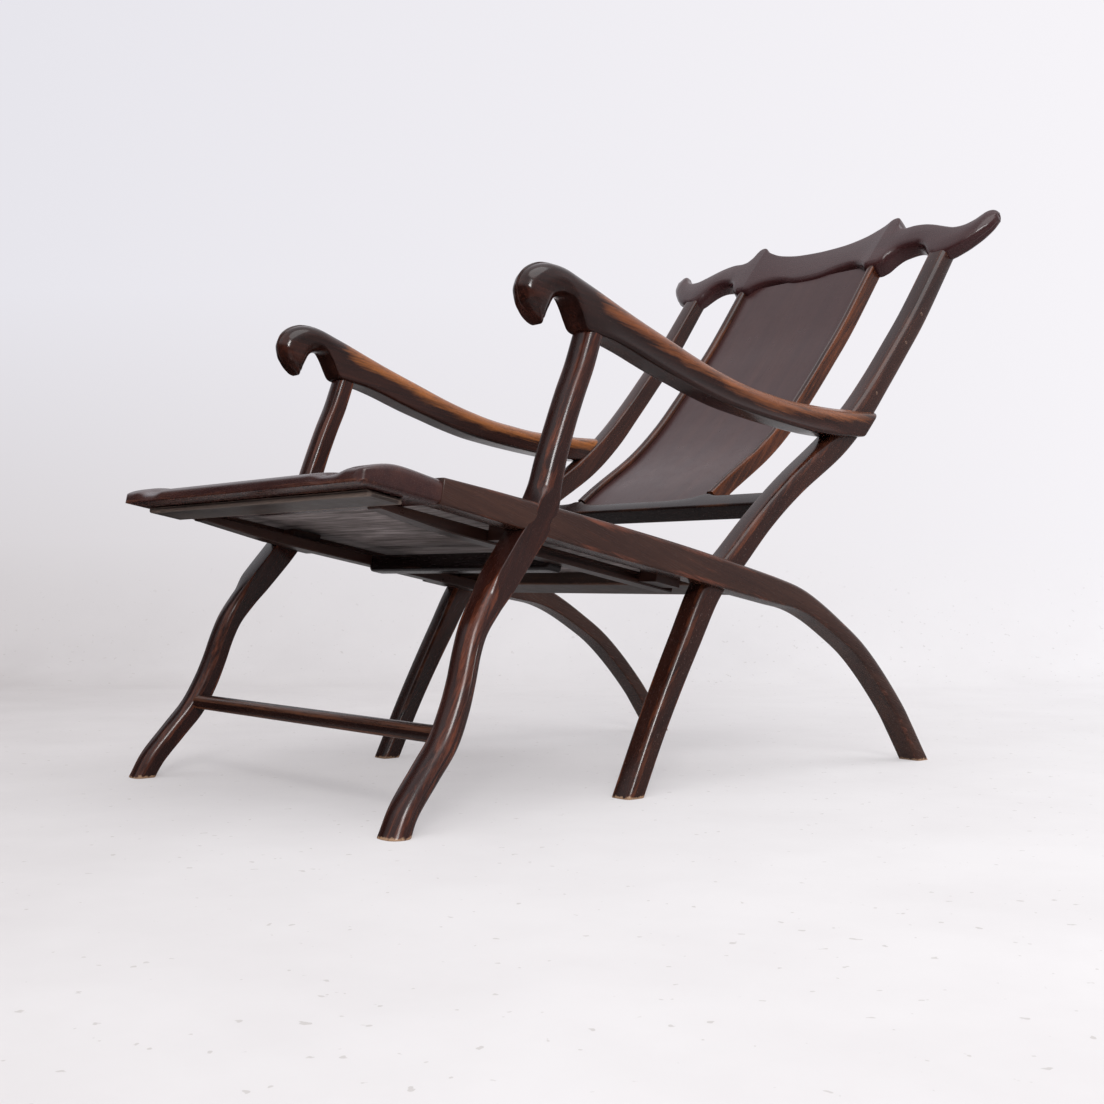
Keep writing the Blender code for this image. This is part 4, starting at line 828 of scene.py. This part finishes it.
def peg_end():
    """End grain: fine rings of dark pores on brown wood, and a pale broken ring at the edge."""
    material, tree, shader, place = new_material("peg_end_grain")
    edge = mesh_mask(tree, "edge")
    grain, broken = clouds(tree, place, 900, 3), clouds(tree, place, 420, 2)
    colour = mix(tree, ramp(tree, grain, ((0.35, 0.0), (0.65, 1.0))), (0.045, 0.018, 0.01), (0.11, 0.045, 0.024))
    rim = times(tree, edge, ramp(tree, broken, ((0.4, 0.0), (0.55, 0.8))))
    tree.links.new(mix(tree, rim, colour, (0.36, 0.25, 0.17)), shader.inputs["Base Color"])
    tree.links.new(plus(tree, times(tree, grain, 0.2), 0.35), shader.inputs["Roughness"])
    roughen(tree, shader, grain, 0.3, 0.0003)
    return material


peg_wood = peg_end()
for name, side in SIDES.items():
    low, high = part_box("lap_pin_" + name)
    piece = turned_peg("lap_pin_end_" + name, side, (low.y + high.y) / 2 + MIDDLE, (low.z + high.z) / 2, PIN_SIZES)
    show(piece, peg_wood, "peg_wood", "lap_pin_" + name)
    for peg, height in PEG_HEIGHTS.items():
        piece = turned_peg(peg + "end_" + name, side, stile_line(height)[0], height, PEG_SIZES)
        show(piece, peg_wood, "peg_wood", peg + name)

# Footrest: a thin front rail and two long runners joined by a batten, sliding out from under the seat.
# The front rail and batten are lacquered dark, the rail with pale worn edges; the batten is near black, darker
# than the frame, as painted shade for its place deep under the seat. The runners and their keepers are plain.
footrest_front = cross_bar("footrest_front_strip", cross_plane(back=0.0345, height=0.3832, slope=SEAT_SLOPE),
                           half_width=0.28, top=-0.0006, under=-0.0076, half_deep=0.0249,
                           radii=(0.0015, 0.0035, 0.002, 0.001), ends=(0.003, 0.003))
strip_wood = lacquered("footrest_strip_lacquer", CROSSWISE, (0.1, 0.2, 0.9), Rubbed=0.22, edge_wear=0.5, Dust=0.2,
                       Dark=(0.035, 0.025, 0.021), Light=(0.1, 0.075, 0.066), Worn=(0.24, 0.17, 0.13), Gloss=0.34)
show(footrest_front, strip_wood, "dark_lacquer", "footrest_front_rail", body="footrest")
runner_wood = lacquered("runner_lacquer", (SEAT_SLOPE, 0, 0), (0.6, 0.6, 0.3), Rubbed=0.13, Dust=0.08,
                        Dark=(0.02, 0.008, 0.006), Light=(0.07, 0.028, 0.018), Worn=(0.15, 0.06, 0.03), Gloss=0.3)
# The batten's colour is dark lacquer plus painted shade: darker than any other part, for its place deep under the
# seat.
batten_wood_and_shade = lacquered("batten_lacquer", CROSSWISE, (0.4, 0.4, 0.3), Rubbed=0.05,
                        Dark=(0.006, 0.003, 0.003), Light=(0.02, 0.009, 0.007), Gloss=0.22)
batten = cross_bar("footrest_batten_bar", cross_plane(back=0.353, height=0.3212, slope=SEAT_SLOPE),
                   half_width=0.2105, top=-0.0006, under=-0.0256, half_deep=0.013,
                   radii=(0.002, 0.006, 0.004, 0.002), ends=(0.004, 0.004))
show(batten, batten_wood_and_shade, "dark_lacquer", "footrest_batten", body="footrest")
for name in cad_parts:
    if name.startswith(("footrest_runner", "footrest_keeper")):
        redress(name, runner_wood)

# Floor and wall: a pale studio floor that turns up into a white wall behind the chair.
# Ahead and right are level directions as the camera sees them.
CAMERA_TURN = 0.858054
AHEAD = (-math.sin(CAMERA_TURN), math.cos(CAMERA_TURN))
RIGHT = (math.cos(CAMERA_TURN), math.sin(CAMERA_TURN))
FLOOR_NEAR, BEND_START, BEND_RADIUS, WALL_TOP = -6, 1.6, 0.5, 7
FLOOR_HALF_WIDTH = 9.0
BEND_STEPS = 24
SPECK = (0.3, 0.26, 0.22)
UNLIT = (0.012, 0.01, 0.01, 1)


def how_far(tree, vector, way):
    """How far a vector reaches along a level direction."""
    return node(tree, "ShaderNodeVectorMath", {0: vector, 1: (*way, 0)}, operation="DOT_PRODUCT").outputs["Value"]


def studio_paper():
    """Pale matte paint with faint smudges. Its colour is darker on the left and low on the floor, and paler up the
    wall and to the right: painted shade and light where the room's light falls off. Towards the wall the camera and
    reflections see the paint's own plain colour, which carries the same painted gradient; the floor keeps the
    chair's shadow. In reflections the floor is dim, and its left and the wall far to the left are dark, where the
    room was unlit. From behind, the sheet is clear."""
    material, tree, shader, place = new_material("studio_paper")
    smudged = ramp(tree, clouds(tree, place, 3.5, 5, 0.6), ((0.35, 0.0), (0.62, 1.0)))
    specks = times(tree, ramp(tree, clouds(tree, place, 70, 2), ((0.7, 0.0), (0.72, 1.0))), 0.6)
    shader.inputs["Roughness"].default_value = 0.9
    height = node(tree, "ShaderNodeSeparateXYZ", {"Vector": place}).outputs["Z"]
    rightwards = how_far(tree, place, RIGHT)
    # Share from left to right, used to make the paint paler towards the right: painted light.
    across = times(tree, plus(tree, rightwards, 1.7), 0.29, True)
    lit_higher_up = ramp(tree, times(tree, height, 0.6), ((0.0, 0.0), (0.7, 1.0)))
    # The plain colour seen by the camera is darker low on the floor and paler up the wall and to the right: painted
    # shade and light.
    tone = mix(tree, ramp(tree, height, ((0.0, 0.0), (0.04, 1.0))), (0.6, 0.56, 0.56), (0.64, 0.605, 0.61))
    tone = mix(tree, lit_higher_up, tone, (0.8, 0.79, 0.84))
    tone = mix(tree, across, tone, (0.93, 0.91, 0.945))
    # The lit paint is darker on the left: painted shade where the room's light falls off.
    paint = mix(tree, across, mix(tree, smudged, (0.56, 0.53, 0.53), (0.63, 0.6, 0.6)),
                mix(tree, smudged, (0.88, 0.855, 0.85), (0.94, 0.92, 0.915)))
    tree.links.new(mix(tree, specks, paint, SPECK), shader.inputs["Base Color"])
    path = node(tree, "ShaderNodeLightPath").outputs
    seen = maths(tree, "MAXIMUM", path["Is Camera Ray"], path["Is Glossy Ray"])
    seen = maths(tree, "MAXIMUM", seen, path["Is Transmission Ray"])
    share = times(tree, ramp(tree, height, ((0.0, 0.5), (0.4, 1.0))), seen)
    plain = node(tree, "ShaderNodeEmission", {"Color": tone, "Strength": 1.0})
    both = node(tree, "ShaderNodeMixShader", {0: share, 1: shader.outputs["BSDF"], 2: plain.outputs["Emission"]})
    leftwards = times(tree, rightwards, -0.2)
    low_left = times(tree, ramp(tree, leftwards, ((0.07, 0.0), (0.2, 1.0))),
                     ramp(tree, times(tree, height, 0.4), ((0.15, 1.0), (0.6, 0.0))))
    unlit = maths(tree, "MAXIMUM", low_left, ramp(tree, leftwards, ((0.5, 0.0), (0.8, 1.0))))
    unlit = maths(tree, "MAXIMUM", unlit, ramp(tree, height, ((0.0, 0.6), (0.2, 0.0))))
    unlit = times(tree, unlit, path["Is Glossy Ray"])
    black = node(tree, "ShaderNodeEmission", {"Color": UNLIT, "Strength": 1.0})
    ends = node(tree, "ShaderNodeMixShader", {0: unlit, 1: both.outputs["Shader"], 2: black.outputs["Emission"]})
    clear = node(tree, "ShaderNodeBsdfTransparent").outputs["BSDF"]
    behind = node(tree, "ShaderNodeNewGeometry").outputs["Backfacing"]
    sheet = node(tree, "ShaderNodeMixShader", {0: behind, 1: ends.outputs["Shader"], 2: clear})
    tree.links.new(sheet.outputs["Shader"], tree.nodes["Material Output"].inputs["Surface"])
    return material


def sweep_wall():
    """Floor, a quarter-circle bend and a wall: one profile of ahead and up, carried sideways."""
    turn = np.linspace(0, math.pi / 2, BEND_STEPS)
    bend = np.column_stack((BEND_START + BEND_RADIUS * np.sin(turn), BEND_RADIUS * (1 - np.cos(turn))))
    profile = np.vstack(([[FLOOR_NEAR, 0]], bend, [[BEND_START + BEND_RADIUS, WALL_TOP]]))
    wide = np.array([-FLOOR_HALF_WIDTH, FLOOR_HALF_WIDTH])
    flat = profile[:, None, :1] * np.array(AHEAD) + wide[None, :, None] * np.array(RIGHT)
    points = np.concatenate((flat, np.repeat(profile[:, None, 1:], 2, axis=1)), axis=2)
    rows = len(profile)
    a = np.arange(rows - 1) * 2
    faces = np.column_stack((a, a + 1, a + 3, a + 2))
    mesh = bpy.data.meshes.new("studio_floor")
    mesh.from_pydata(points.reshape(-1, 3).tolist(), [], faces.tolist())
    mesh.shade_smooth()
    floor = bpy.data.objects.new("studio_floor", mesh)
    bpy.context.scene.collection.objects.link(floor)
    return floor


floor = sweep_wall()
floor.data.materials.append(studio_paper())
floor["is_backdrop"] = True

# Light: a pale room that is bright overhead and on the right, and dim at eye height on the left and behind
# the camera, with one soft lamp over the camera's shoulder and a larger, weaker one overhead.
world = bpy.data.worlds.new("studio_light")
bpy.context.scene.world = world
world.use_nodes = True
sky = world.node_tree
direction = node(sky, "ShaderNodeTexCoord").outputs["Generated"]
upwards = node(sky, "ShaderNodeSeparateXYZ", {"Vector": direction}).outputs["Z"]
low_room = ramp(sky, plus(sky, times(sky, how_far(sky, direction, RIGHT), 0.5), 0.5),
                ((0.3, (0.03, 0.028, 0.028)), (0.65, (0.12, 0.115, 0.115)), (0.97, (0.42, 0.4, 0.41))))
room = mix(sky, ramp(sky, upwards, ((0.12, 0.0), (0.6, 1.0))), low_room, (0.84, 0.86, 0.9))
sky.links.new(room, sky.nodes["Background"].inputs["Color"])


def soft_lamp(name, place, aim, size, power):
    """Round area lamp that points from its place at its aim, turned there about X and then about Z."""
    lamp = bpy.data.lights.new(name, "AREA")
    lamp.shape = "DISK"
    lamp.size = size
    lamp.energy = power
    holder = bpy.data.objects.new(name, lamp)
    way = np.array(aim) - np.array(place)
    holder.location = place
    holder.rotation_euler = (math.acos(-way[2] / np.linalg.norm(way)), 0, math.atan2(way[1], way[0]) - math.pi / 2)
    bpy.context.scene.collection.objects.link(holder)


soft_lamp("key_lamp", place=(3.6, -2.6, 2.6), aim=(0, 0, 0.4), size=1.3, power=103)
soft_lamp("top_lamp", place=(1.4, -0.4, 3.4), aim=(0, 0, 0.2), size=3.0, power=50)

# Camera: it stands low, a little under the height of the seat, at the sitter's left front, and looks very
# slightly upwards.
CAMERA_PLACE = (1.6187, -1.4722, 0.28505)
CAMERA_TILT = 0.019592
bpy.context.scene.view_settings.view_transform = "Standard"
lens = bpy.data.cameras.new("camera")
lens.sensor_width = 36
lens.lens = 46.151
camera = bpy.data.objects.new("camera", lens)
camera.location = CAMERA_PLACE
camera.rotation_euler = (math.pi / 2 + CAMERA_TILT, 0, CAMERA_TURN)
bpy.context.scene.collection.objects.link(camera)
bpy.context.scene.camera = camera

low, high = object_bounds()
